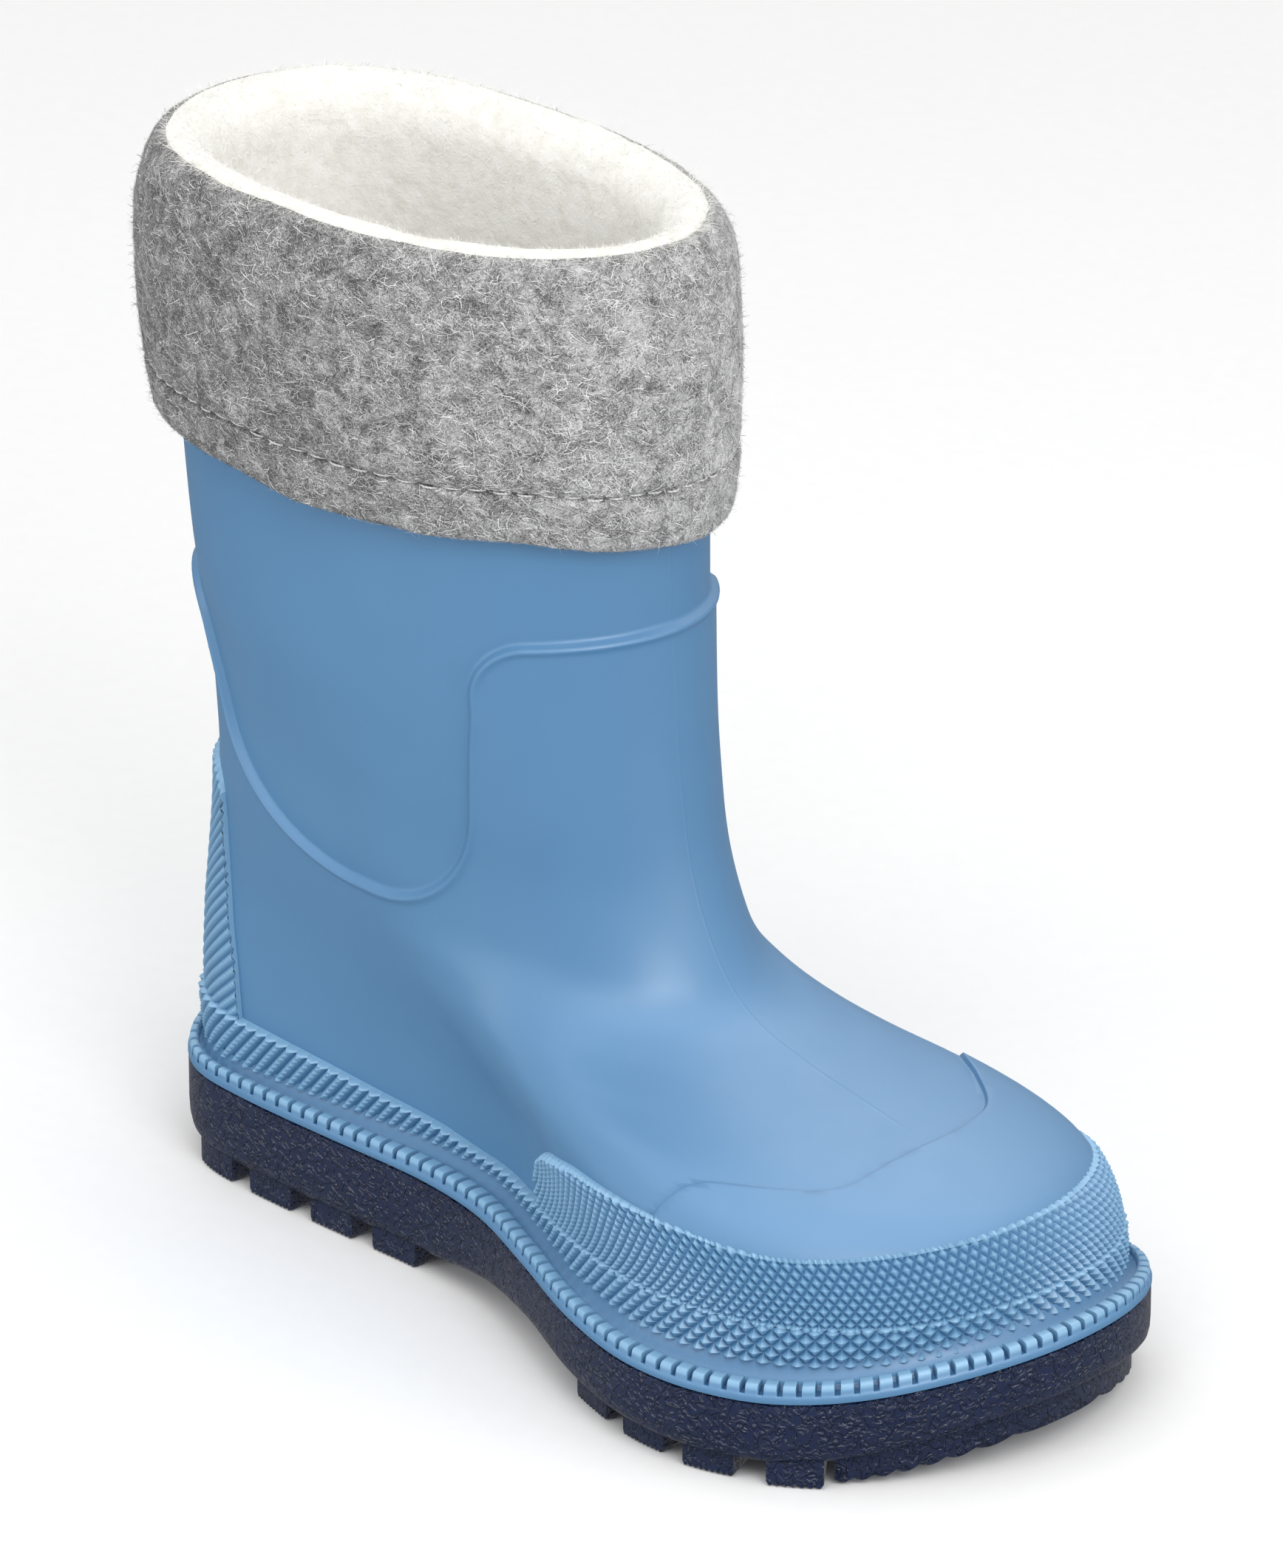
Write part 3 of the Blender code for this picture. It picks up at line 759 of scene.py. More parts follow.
def joined(grids):
    """Points and faces of several grids, each given as (points, faces), as one mesh."""
    points, faces, count = [], [], 0
    for grid_points, grid_faces_ in grids:
        points.append(grid_points.reshape(-1, 3))
        faces.append(grid_faces_ + count)
        count += len(points[-1])
    return np.concatenate(points), np.concatenate(faces)


def flipped(grid):
    """A grid with its faces turned round."""
    points, faces = grid
    return points, faces[:, ::-1]


def filled(ring, up):
    """Strips from side to side across a ring that is even about its ends, facing up or down."""
    count = len(ring)
    i = np.arange(1, count // 2 - 1)
    strips = np.stack([i, i + 1, count - i - 1, count - i], -1)
    ends = [[0, 1, count - 1, 0], [count // 2 - 1, count // 2, count // 2 + 1, count // 2 - 1]]
    faces = np.concatenate([strips, ends])
    return ring, faces if up else faces[:, ::-1]


def capped(rings):
    """Points and faces of a solid through rings from its underside up."""
    wall = as_grid(np.stack(rings, 1), wrap_u=True)
    return joined([wall, filled(rings[-1], True), filled(rings[0], False)])


def walk(line):
    """Distance along a line of points, at each of them."""
    return np.concatenate([[0.0], np.cumsum(np.linalg.norm(np.diff(line, axis=0), axis=1))])


def body_lift(turn, row):
    """Height of the upper's smooth parts: the thicker wall with its bead, the toe cap and the mould line."""
    point = upper_base(turn, row)
    panel = panel_field(turn, point)
    bead = PANEL_BEAD * hump(panel - PANEL_EDGE, BEAD_WIDTH)
    toe = cap_field(turn, point)
    cap = CAP_STEP * smooth(toe, CAP_EDGE)
    seam = SEAM_RISE * hump(turn - 0.5, SEAM_WIDTH) * smooth(-toe - SEAM_END, SEAM_FADE)
    return PANEL_STEP * smooth(panel, PANEL_EDGE) + bead + cap + seam


def body_point(turn, row):
    return wall_point(turn, row, body_lift(turn, row))


def cut_sheet(bm, field, level):
    """Cuts the flat sheet of (turn, row) where a field passes a level."""
    flat = np.array([vert.co for vert in bm.verts])
    values = field(flat[:, 0], upper_base(flat[:, 0], flat[:, 1])) - level
    for vert, value in zip(bm.verts, values):
        vert.co.z = value
    everything = bm.verts[:] + bm.edges[:] + bm.faces[:]
    bmesh.ops.bisect_plane(bm, geom=everything, dist=0.01, plane_co=(0, 0, 0), plane_no=(0, 0, 1))
    for vert in bm.verts:
        vert.co.z = 0.0


def add_upper(look):
    """The smooth wall of the upper, with edges along its raised lines, and the wall inside it."""
    turn = np.unique(np.concatenate([np.linspace(0.0, 1.0, UPPER_TURNS), 0.5 + SEAM_TURNS]))
    row = np.linspace(0.0, TOP_ROW, UPPER_ROWS)
    bm = bmesh.new()
    verts = [bm.verts.new((t, r, 0.0)) for t in turn for r in row]
    for face in grid_faces(len(turn), len(row)):
        bm.faces.new([verts[i] for i in face])
    for level in np.linspace(*PANEL_CUTS):
        cut_sheet(bm, panel_field, level)
    for level in np.linspace(0.0, CAP_EDGE, CAP_CUTS):
        cut_sheet(bm, cap_field, level)
    bmesh.ops.triangulate(bm, faces=bm.faces)
    bm.verts.index_update()
    flat_turn, flat_row = np.array([vert.co[:2] for vert in bm.verts]).T
    faces = np.array([[vert.index for vert in face.verts] for face in bm.faces])
    bm.free()
    points = body_point(flat_turn, flat_row)
    normals = normal_at(body_point, flat_turn, flat_row, BODY_TURN_STEP, BODY_ROW_STEP)
    add_mesh("upper", points, faces, look, "boot_rubber", ["upper"], normals)
    inside = wall_point(turn[:, None], np.linspace(TOP_ROW, 0.0, INNER_ROWS), -WALL)
    top, foot = (body_point(turn, edge)[:, None] for edge in (TOP_ROW, 0.0))
    wall = as_grid(np.concatenate([top, inside, foot], 1))
    add_mesh("upper_inner_wall", *wall, look, "boot_rubber", crease=40)


def row_where(field, turn, low, high):
    """The row at which a field falls to zero going up the wall, for each turn."""
    for _ in range(ROW_HALVINGS):
        half = (low + high) / 2
        inside = field(turn % 1.0, upper_base(turn, half)) > 0.0
        low, high = np.where(inside, half, low), np.where(inside, high, half)
    return low


def lay_out(start, end, row, low, high):
    """A band of the wall as a table: distance from its middle, turn, lowest and highest row, and height."""
    fine = np.linspace(start, end, 3001)
    walked = walk(upper_base(fine, row))
    along = np.linspace(0.0, walked[-1], int(walked[-1] / BAND_STEP) + 1)
    turn = np.interp(along, walked, fine)
    low, high = low(turn), high(turn)
    tall = np.maximum(np.linalg.norm(upper_base(turn, high) - upper_base(turn, low), axis=1), BAND_LEAST)
    return {"along": along - walked[-1] / 2, "turn": turn, "low": low, "high": high, "tall": tall}


def on_band(band, along, up, lift):
    """A point of a band, by its distance along it and up from its lower edge."""
    turn, low, high, tall = read(band, "along", along, "turn", "low", "high", "tall")
    return wall_point(turn, low + (high - low) * up / tall, lift)


def groove_lines(band, pitches, lean):
    """Both families of slanting grooves of a band: depths, pitches, and grooves counted from its middle."""
    start, end = band["along"][[0, -1]]
    along = np.linspace(start - GROOVE_MARGIN, end + GROOVE_MARGIN, 6001)
    first, second, first_depth, second_depth = read(pitches, "reach", abs(along), *KNURL_COLUMNS[1:])
    lines = {"along": along, "lean": lean}
    for family, ahead in (("a", along > 0), ("b", along <= 0)):
        pitch = np.where(ahead, first, second)
        counted = np.concatenate([[0.0], np.cumsum(np.diff(along) / pitch[1:])])
        lines["depth_" + family] = np.where(ahead, first_depth, second_depth)
        lines["pitch_" + family] = pitch
        lines["count_" + family] = counted - np.interp(0.0, along, counted)
    return lines


def groove_phases(lines, along, up):
    """How many grooves of each family lie between the middle of a band and a place on it."""
    pitch_a, count_a, pitch_b, count_b = read(lines, "along", along, *GROOVE_COLUMNS)
    up = up / lines["lean"]
    return count_a + up / pitch_a, count_b - up / pitch_b


def groove_crossing(lines, phase_a, phase_b):
    """The place on a band, along and up it, where the two phases have these values."""
    low, high = lines["along"][[0, -1]]
    for _ in range(GROOVE_HALVINGS):
        half = (low + high) / 2
        pitch_a, count_a, pitch_b, count_b = read(lines, "along", half, *GROOVE_COLUMNS)
        up = pitch_a * (phase_a - count_a)
        ahead = up > pitch_b * (count_b - phase_b)
        low, high = np.where(ahead, half, low), np.where(ahead, high, half)
    return half, up * lines["lean"]


def knurl(lines, along, up):
    """Height from 0 to 1 of the pointed diamonds that the grooves leave between them."""
    depths = read(lines, "along", along, "depth_a", "depth_b")
    phases = groove_phases(lines, along, up)
    lower = np.minimum(*(1.0 - depth * (1.0 - tent(phase)) for depth, phase in zip(depths, phases)))
    return 1.0 - (1.0 - np.clip((lower - GROOVE_FLAT) / KNURL_TOP, 0.0, 1.0)) ** KNURL_ROUND


def diamond_faces(count):
    """Triangles of diamonds with a square grid of points each, split along the edges of their four sides."""
    side = len(DIAMOND)
    faces = []
    for i, j in np.ndindex(side - 1, side - 1):
        near, right, left, far = ((i + di) * side + j + dj for di, dj in ((0, 0), (0, 1), (1, 0), (1, 1)))
        if i + j == side - 2:
            faces += [(near, right, left), (right, far, left)]
        else:
            faces += [(near, right, far), (near, far, left)]
    return (np.arange(count)[:, None, None] * side * side + np.array(faces)).reshape(-1, 3)


def triangles(quads):
    return np.concatenate([quads[:, [0, 1, 2]], quads[:, [0, 2, 3]]])


def add_band(name, look, band, size, lines, edge, ends):
    """A knurled band of the upper. Its edges turn down to the smooth wall through an edge section."""
    start, end = band["along"][[0, -1]]
    fine = np.linspace(start, end, int((end - start) / EDGE_STEP) + 1)
    (tall,) = read(band, "along", fine, "tall")

    def lift(along, up):
        return size["floor"] + size["rise"] * knurl(lines, along, up)

    def turned_down(along, up, along_step, up_step):
        """A strip, or a fan round a corner, from places on the band's edge down to the wall."""
        top = lift(along, up) - BAND_ROOT
        along, up = along + along_step * edge["beyond"], up + up_step * edge["beyond"]
        points = on_band(band, along, up, BAND_ROOT + edge["share"] * top)
        return points, triangles(grid_faces(*points.shape[:2]))

    phases = groove_phases(lines, fine[:, None], tall[:, None] * np.linspace(0.0, 1.0, CELL_SAMPLES))
    cells = np.unique(np.floor(np.stack(phases, -1)).reshape(-1, 2), axis=0)
    first, second = cells.T[:, :, None, None]
    along, up = groove_crossing(lines, *np.broadcast_arrays(first + DIAMOND[:, None], second + DIAMOND))
    along = np.clip(along, start, end)
    up = np.clip(up, 0.0, *read(band, "along", along, "tall"))
    diamonds = on_band(band, along, up, lift(along, up)).reshape(-1, 3)
    faces = diamond_faces(len(cells))
    corner = diamonds[faces]
    area = np.linalg.norm(np.cross(corner[:, 1] - corner[:, 0], corner[:, 2] - corner[:, 0]), axis=1)
    grids = [(diamonds, faces[area > LEAST_AREA])]
    grids.append(turned_down(fine[:, None], tall[:, None], 0.0, 1.0))
    grids.append(flipped(turned_down(fine[:, None], 0.0, 0.0, -1.0)))
    if ends:
        places = (start, tall[0], -1.0), (end, tall[-1], 1.0)
        for at, top, out in places:
            strip = turned_down(at, np.linspace(0.0, top, END_STEPS)[:, None], out, 0.0)
            grids.append(flipped(strip) if out > 0 else strip)
        angle = np.linspace(0.0, math.pi / 2, FAN_STEPS)[:, None]
        for rise in (1.0, -1.0):
            for at, top, out in places:
                fan = turned_down(at, top if rise > 0 else 0.0, out * np.cos(angle), rise * np.sin(angle))
                grids.append(flipped(fan) if out * rise > 0 else fan)
    points, faces = joined(grids)
    # Painted highlight on the knurl's points and on its edges, painted shade in its grooves.
    grooves = np.full(len(points), PAINTED_HIGHLIGHT_LEVEL)
    grooves[: len(diamonds)] = 1.0 - (1.0 - PAINTED_HIGHLIGHT_LEVEL) * knurl(lines, along, up).ravel()
    add_mesh(name, points, faces, look, "boot_rubber", crease=40, shade=grooves)


def add_bands(look):
    """The rand all round, the bumper round the toe and the counter round the heel."""

    def rand_foot(turn):
        return np.full_like(turn, RAND["lowest"])

    def rand_top(turn):
        return row_where(rand_field, turn, RAND["lowest"], RAND["highest"])

    def top_over_rand(field, size):
        def top(turn):
            found = row_where(field, turn, size["lowest"], size["highest"])
            return np.maximum(found, rand_top(turn) + LEAST_ROWS)

        return top

    far = np.linspace(0.2, 0.8, 2001)
    toe = far[upper_base(far, 1.0)[:, 0] > BUMPER_START + BUMPER_END_GAP]
    reach = COUNTER_REACH / GIRTH - COUNTER_END_GAP
    bumper_top, counter_top = top_over_rand(bumper_field, BUMPER), top_over_rand(counter_field, COUNTER)
    bands = (
        ("upper_rand", RAND, RAND_KNURL, (0.0, 1.0), rand_foot, rand_top, RAND_EDGE, False),
        ("upper_bumper", BUMPER, BUMPER_KNURL, (toe[0], toe[-1]), rand_top, bumper_top, SOFT_EDGE, True),
        ("upper_counter", COUNTER, COUNTER_KNURL, (-reach, reach), rand_top, counter_top, SOFT_EDGE, True),
    )
    for name, size, pitches, turns, low, high, edge, ends in bands:
        band = lay_out(*turns, size["row"], low, high)
        lines = groove_lines(band, pitches, size["lean"])
        add_band(name, look, band, size, lines, edge, ends)


def rim_turns(share):
    """Turns at shares of the way round the outline of the sole."""
    fine = np.linspace(0.0, 1.0, 4001)
    walked = walk(sole_line(fine))
    return np.interp(share * walked[-1], walked, fine)


def add_welt(look):
    """The ring on the edge of the sole, with a ridge of teeth and a cove behind it."""
    start, end, soft = TOOTH_START, TOOTH_END, TOOTH_ROUND
    rising = [0.0, start - TOOTH_FOOT, start, start + soft / 2, start + soft, start + TOOTH_LAND, 0.5]
    falling = [end - TOOTH_LAND, end - soft, end - soft / 2, end, end + TOOTH_FOOT]
    phase = np.array(rising + falling)
    tooth = np.minimum(smooth(phase - start, soft), smooth(end - phase, soft)) ** 0.5
    share = (np.arange(TOOTH_COUNT)[:, None] + phase) / TOOTH_COUNT
    turn, tooth = rim_turns(share.ravel()), np.tile(tooth, TOOTH_COUNT)[:, None]
    rim = sole_line(turn)
    inside = wall_point(turn, COVE_ROW, PANEL_STEP + RAND_STEP + FIT_GAP)
    along = unit(np.roll(rim, -1, 0) - np.roll(rim, 1, 0))
    inward = inside[:, :2] - rim
    inward = inward - (inward * along).sum(1, keepdims=True) * along
    across = WELT_SECTION["share"] + tooth * (WELT_SECTION["tooth_share"] - WELT_SECTION["share"])
    rise = WELT_SECTION["rise"] + tooth * (WELT_SECTION["tooth_rise"] - WELT_SECTION["rise"])
    plan = rim[:, None] + across[..., None] * inward[:, None]
    points = at_height(plan, (height("seat", rim[:, 0]) + FIT_GAP)[:, None] + rise)
    # Painted highlight on the tops of the teeth and painted shade in the gaps between them.
    shade = ((1.0 - (1.0 - PAINTED_HIGHLIGHT_LEVEL) * tooth) * WELT_SECTION["painted_rows"]).ravel()
    ring = as_grid(points, True, True)
    add_mesh("welt", *ring, look, "boot_rubber", ["welt"], crease=50, shade=shade)


def add_outsole(look):
    """The dark sole with its side wall, and the lugs under it."""
    turn = np.arange(SOLE_TURNS) / SOLE_TURNS
    rim = sole_line(turn)[:, 0]
    rings = []
    for inset, rise, on_edge in zip(*SOLE_SIDE.values()):
        rings.append(at_height(sole_line(turn, inset), height("edge" if on_edge else "seat", rim) + rise))
    add_mesh("outsole", *capped(rings[::-1]), look, "sole_rubber", ["outsole"], crease=40)
    lugs = []
    for start, end, inset in zip(*LUG_ROWS.values()):
        lugs += lug_row(start, end, inset)
    tip = np.linspace(TIP_LUG_START, TIP_LUG_END, 161)
    outer, inner = sole_line(tip, TIP_LUG_INSET), sole_line(tip, TIP_LUG_WIDTH)
    foot = np.maximum(height("edge", outer[:, 0]) - TIP_LUG_DROP, 0.0)
    scallop = 1.0 - abs(np.sin(math.pi * (outer[:, 0] - outer[0, 0]) / TIP_PITCH))
    lugs.append(lug(inner, outer, foot + TIP_DEPTH * scallop))
    add_mesh("outsole_lugs", *joined(lugs), look, "sole_rubber", crease=55)


def lug_row(start, end, inset):
    """One row of lugs: a block along each side and a bar between them, ridged underneath."""
    ridges = round((end - start) / RIDGE_PITCH)
    share = np.linspace(0.0, 1.0, ridges * RIDGE_STEPS + 1)
    x = start + (end - start) * share
    turn = np.arccos(1.0 - 2.0 * x / SOLE_LENGTH) / (2.0 * math.pi)
    foot = RIDGE_DEPTH * (1.0 - abs(np.sin(math.pi * ridges * share)))
    near, far = (sole_line(side, LUG_WIDTH + LUG_CHANNEL)[len(x) // 2, 1] for side in (turn, 1.0 - turn))
    made = [
        lug(sole_line(turn, inset), sole_line(turn, LUG_WIDTH), foot),
        lug(sole_line(1.0 - turn, LUG_WIDTH), sole_line(1.0 - turn, inset), foot),
    ]
    if far - near > LUG_CHANNEL:
        made.append(lug(*(np.column_stack([x, np.full_like(x, y)]) for y in (near, far)), foot))
    return made


def lug(near, far, foot):
    """A block between two lines along the sole, with its underside at the given heights."""
    near, far, foot = (np.concatenate([a[:1], a, a[-1:]]) for a in (near, far, foot))
    plan = near[:, None] + LUG_ACROSS[:, None] * (far - near)[:, None]
    z = np.broadcast_to(foot[:, None], plan.shape[:2]).copy()
    z[:, 1] += LUG_CHAMFER
    z[:, -2] += LUG_CHAMFER
    root = height("edge", plan[..., 0]) + LUG_ROOT
    for edge in (np.s_[0], np.s_[-1], np.s_[:, 0], np.s_[:, -1]):
        z[edge] = root[edge]
    return flipped(as_grid(at_height(plan, z)))


def add_insole(look):
    """The felt insole, with a slightly uneven top."""
    turn = np.arange(INSOLE_TURNS) / INSOLE_TURNS
    rings = []
    for inset, rise in zip(*INSOLE_SIDE.values()):
        line = wall_point(turn, 0.0, -WALL - INSOLE_GAP - inset)[:, :2]
        rings.append(at_height(line, height("seat", line[:, 0]) + FIT_GAP + rise))
    points, faces = capped(rings)
    points[:, 2] += lumpy(points, INSOLE_LUMPS) * (points[:, 2] > INSOLE_EVEN)
    made = add_mesh("insole", points, faces, look, "insole_felt", ["insole"])


def along_section(section, steps, closed):
    """Points on a smooth line through the points of a section, steps to each."""
    knots = np.stack(list(section.values()), -1)
    last = len(knots) - 1
    count = len(knots) if closed else last
    at = np.arange(count * steps + (not closed)) / steps
    i = np.minimum(at.astype(int), count - 1)
    t = (at - i)[:, None]
    near = [(i + k) % len(knots) if closed else np.clip(i + k, 0, last) for k in (-1, 0, 1, 2)]
    a, b, c, d = (knots[k] for k in near)
    return b + t / 2 * (c - a + t * (2 * a - 5 * b + 4 * c - d + t * (3 * (b - c) + d - a)))


def hem_wave(turn, z):
    """How far the felt's lower edge wanders up or down, fading out above it."""
    angle = 2.0 * math.pi * turn
    wave = sum(size * np.sin(waves * angle + shift) for size, waves, shift in zip(*HEM_WAVES.values()))
    tilt = HEM_RISE + HEM_TILT * np.cos(angle - HEM_TILT_ANGLE)
    return (HEM_WAVE * wave + tilt) * smooth(CUFF_HEM + HEM_FADE - z, HEM_FADE)


def crest_drop(turn, z):
    """How much lower the rim of the cuff is on the outer side."""
    outer = np.maximum(-np.sin(2.0 * math.pi * turn), 0.0)
    return CREST_DROP * outer * smooth(z - CUFF_CREST + CREST_FADE, CREST_FADE)


def felt_point(turn, out, z):
    """A point of the felt, with its lumps, its wavy hem and the groove of its stitches."""
    turn, out, z = np.broadcast_arrays(turn, out, z)
    lifted = z + hem_wave(turn, z) - crest_drop(turn, z)
    rough = lumpy(collar_point(turn, lifted, out), FELT_LUMPS) * (out > LUMPS_FROM)
    groove = STITCH_GROOVE * hump(z - STITCH_LINE, STITCH_GROOVE_WIDTH) * (out > FACE_FROM)
    return collar_point(turn, lifted, out + rough - groove)


def felt_painted_light(turn):
    """How much painted light the felt gets, from 0 behind on the inner side to 1 in front on the outer side.
    """
    return 0.5 + 0.5 * np.cos(2.0 * math.pi * (turn - FELT_PAINTED_LIGHT_TURN))


def add_cuff(felt, thread, hair):
    """The felt cuff with its hairs and stitches."""
    section = along_section(CUFF_SECTION, 6, True)
    turn = np.arange(CUFF_TURNS) / CUFF_TURNS
    ring = as_grid(felt_point(turn[:, None], *section.T), True, True)
    # Painted light toward the front of the felt, and a painted shadow along the groove of its stitches.
    seam = hump(section[:, 1] - STITCH_LINE, STITCH_SHADOW_WIDTH) * (section[:, 0] > FACE_FROM)
    painted_light_and_shadow = (felt_painted_light(turn)[:, None] - STITCH_SHADOW * seam).ravel()
    cuff = add_mesh("felt_cuff", *ring, felt, "felt", ["felt_cuff"], shade=painted_light_and_shadow)
    face = along_section({name: CUFF_SECTION[name][: CUFF_FACE + 1] for name in CUFF_SECTION}, 12, False)
    hairs = add_felt_hairs(face, hair)
    stitches = add_stitches(thread)


def ribbons(paths, outward, width):
    """Points and faces of narrow strips along paths, each turned flat to the outward way."""
    ahead = np.gradient(paths, axis=1)
    side = unit(np.cross(ahead, outward) + 1e-9)
    taper = np.linspace(1.0, HAIR_TIP, paths.shape[1])[None, :, None]
    half = side * taper * (width / 2)[:, None, None]
    points = np.stack([paths - half, paths + half], 2)
    count, steps = paths.shape[:2]
    first = np.arange(count)[:, None] * steps * 2 + np.arange(steps - 1)[None] * 2
    faces = np.stack([first, first + 1, first + 3, first + 2], -1)
    return points.reshape(-1, 3), faces.reshape(-1, 4)


def add_felt_hairs(face, look):
    """Loose wool fibres lying on the felt, with a few that stand off it."""
    rng = np.random.default_rng(5)
    each = (FELT_HAIRS, 1)
    walked = walk(face)
    t = np.linspace(-0.5, 0.5, HAIR_POINTS)[None]
    heading = rng.normal(*HAIR_HEADING, each) + rng.choice([0.0, math.pi], each)
    bend = rng.normal(0.0, HAIR_BEND, each)
    root = rng.uniform(0.0, walked[-1], each)
    from_seam = abs(np.interp(root, walked, face[:, 1]) - STITCH_LINE)
    length = rng.uniform(*HAIR_LENGTH, each) * np.where(from_seam < SEAM_HAIR_REACH, SEAM_HAIR_SHARE, 1.0)
    turn = (rng.uniform(0.0, FELT_GIRTH, each) + length * t * np.cos(heading + bend * t)) / FELT_GIRTH
    up = np.clip(root + length * t * np.sin(heading + bend * t), 0.0, walked[-1])
    stray = rng.random(each) < STRAY_SHARE
    standing = rng.uniform(*STRAY_RISE, each) * (t + 0.5)
    off = np.where(stray, standing, HAIR_LIFT_RANGE * rng.random(each) + HAIR_LIFT)
    out, z = (np.interp(up, walked, face[:, k]) for k in (0, 1))
    near = felt_point(turn, out, z)
    slope = np.interp(up, walked, np.gradient(face[:, 0], walked))[..., None]
    flat = unit(near - felt_point(turn, out - 1.0, z))
    outward = unit(flat * np.sqrt(np.clip(1 - slope**2, 0.05, 1)) - [0, 0, 1] * slope)
    paths = near + off[..., None] * outward
    points, faces = ribbons(paths, outward, rng.uniform(*HAIR_WIDTH, FELT_HAIRS))
    # Each hair's shade: painted light toward the felt's front, with patches and random differences of the
    # wool's own.
    patches_and_painted_light = 0.35 + 0.25 * felt_painted_light(turn[:, 1]) + 0.18 * noise(near[:, 1], 4.0)
    patches_and_painted_light = patches_and_painted_light + rng.normal(0.0, 0.3, FELT_HAIRS)
    shade = np.repeat(np.clip(patches_and_painted_light, 0.0, 1.0) ** 1.5, HAIR_POINTS * 2)
    return add_mesh("felt_hairs", points, faces, look, "felt", shade=shade)


def add_stitches(look):
    """The line of sewing above the hem of the cuff."""
    count = round(FELT_GIRTH / STITCH_PITCH)
    t = np.linspace(-0.5, 0.5, STITCH_POINTS)
    turn = (np.arange(count)[:, None] * STITCH_PITCH + STITCH_LENGTH * t) / (count * STITCH_PITCH)
    z = STITCH_LINE + STITCH_WANDER * np.sin(np.arange(count) * 1.7)[:, None]
    out = np.interp(STITCH_LINE, CUFF_SECTION["z"][:8], CUFF_SECTION["out"][:8])
    line = felt_point(turn, out, z)
    outward = unit(line - felt_point(turn, out - 1.0, z))
    line = line + (STITCH_LIFT - STITCH_ARCH * t**2)[None, :, None] * outward
    upward = np.array([0.0, 0.0, 1.0])
    angle = 2.0 * math.pi * np.arange(STITCH_SIDES) / STITCH_SIDES
    ring = np.cos(angle)[:, None] * outward[:, :, None] + np.sin(angle)[:, None] * upward
    tubes = line[:, :, None] + STITCH_THICK / 2 * ring
    return add_mesh("felt_stitches", *joined([as_grid(tube, wrap_v=True) for tube in tubes]), look, "felt")


def lining_foot(turn):
    """The row at which the fleece ends, just above the insole."""
    rows = np.linspace(0.0, 2.0, 41)
    wall = wall_point(turn[:, None], rows, LINING_BACK)
    over = wall[..., 2] - height("seat", wall[..., 0]) - FIT_GAP - INSOLE_THICK - FLEECE_FOOT_GAP
    return np.array([np.interp(0.0, line, rows) for line in over])


def add_lining(fleece, hair):
    """The fleece over the fold of the cuff and down inside the boot, with its pile."""
    turn = np.arange(LINING_TURNS) / LINING_TURNS
    fold = along_section(FLEECE_SECTION, 5, False)
    lowered = fold[None, :, 1] - crest_drop(turn[:, None], fold[None, :, 1])
    above = collar_point(turn[:, None], lowered, fold[None, :, 0])
    rows = np.linspace(FLEECE_WALL["row"][0], lining_foot(turn), LINING_ROWS, axis=1)
    thick = np.interp(-rows, -FLEECE_WALL["row"], FLEECE_WALL["thick"])
    below = wall_point(turn[:, None], rows, LINING_BACK - thick)
    back = wall_point(turn[:, None], rows[:, ::-2], LINING_BACK)
    sheet = np.concatenate([above, below], 1)
    outward = surface_normals(sheet)
    settled = smooth(np.arange(sheet.shape[1]) - LINING_EVEN, LINING_EVEN)[None]
    sheet = sheet + (lumpy(sheet, FLEECE_LUMPS) * settled)[..., None] * outward
    ring = as_grid(np.concatenate([sheet, back], 1), True, True)
    lining = add_mesh("fleece_lining", *ring, fleece, "fleece", ["fleece_lining"])
    pile = add_pile(sheet, outward, hair)


def surface_normals(grid):
    """Unit normals of a grid of points that closes on itself round its first axis."""
    along = np.roll(grid, -1, 0) - np.roll(grid, 1, 0)
    return unit(np.cross(along, np.gradient(grid, axis=1)))


def add_pile(sheet, outward, look):
    """Short pile over the rim of the fleece and down its inside."""
    rng = np.random.default_rng(9)
    count, columns = FLEECE_HAIRS, sheet.shape[0]
    u = rng.uniform(0, columns, count)
    v = PILE_FIRST + (PILE_LAST - PILE_FIRST) * rng.uniform(0, 1, count) ** PILE_CROWD
    i, j = u.astype(int) % columns, v.astype(int)
    du, dv = (u % 1.0)[:, None], (v % 1.0)[:, None]
    across = sheet[(i + 1) % columns, j] - sheet[i, j]
    down = sheet[i, j + 1] - sheet[i, j]
    root = sheet[i, j] + du * across + dv * down
    facing = outward[i, j]
    fall = np.where(v < PILE_RIM, *PILE_FALL)[:, None] + rng.normal(0.0, 0.6, (count, 1))
    lean = rng.normal(0.0, 0.8, (count, 1)) * unit(across) + fall * unit(down)
    t = np.linspace(0.0, 1.0, HAIR_POINTS)[None, :, None]
    length = (rng.uniform(*PILE_LENGTH, count) * np.where(v < PILE_RIM, PILE_RIM_LENGTH, 1.0))[:, None, None]
    curl = rng.normal(0.0, PILE_CURL, (count, 1, 3))
    paths = root[:, None] + length * (t * (PILE_STAND * facing + lean)[:, None] + t**2 * curl)
    points, faces = ribbons(paths, facing[:, None] + 0 * paths, rng.uniform(*HAIR_WIDTH, count))
    shade = np.repeat(rng.uniform(0.0, 1.0, count), HAIR_POINTS * 2)
    return add_mesh("fleece_pile", points, faces, look, "fleece", shade=shade)


def node(tree, kind, inputs, **settings):
    """A shader node. An input is a value, or the output of another node, which is then linked to it."""
    made = tree.nodes.new("ShaderNode" + kind)
    for name, value in settings.items():
        setattr(made, name, value)
    for name, value in inputs.items():
        if isinstance(value, bpy.types.NodeSocket):
            tree.links.new(value, made.inputs[name])
        else:
            made.inputs[name].default_value = value
    return made


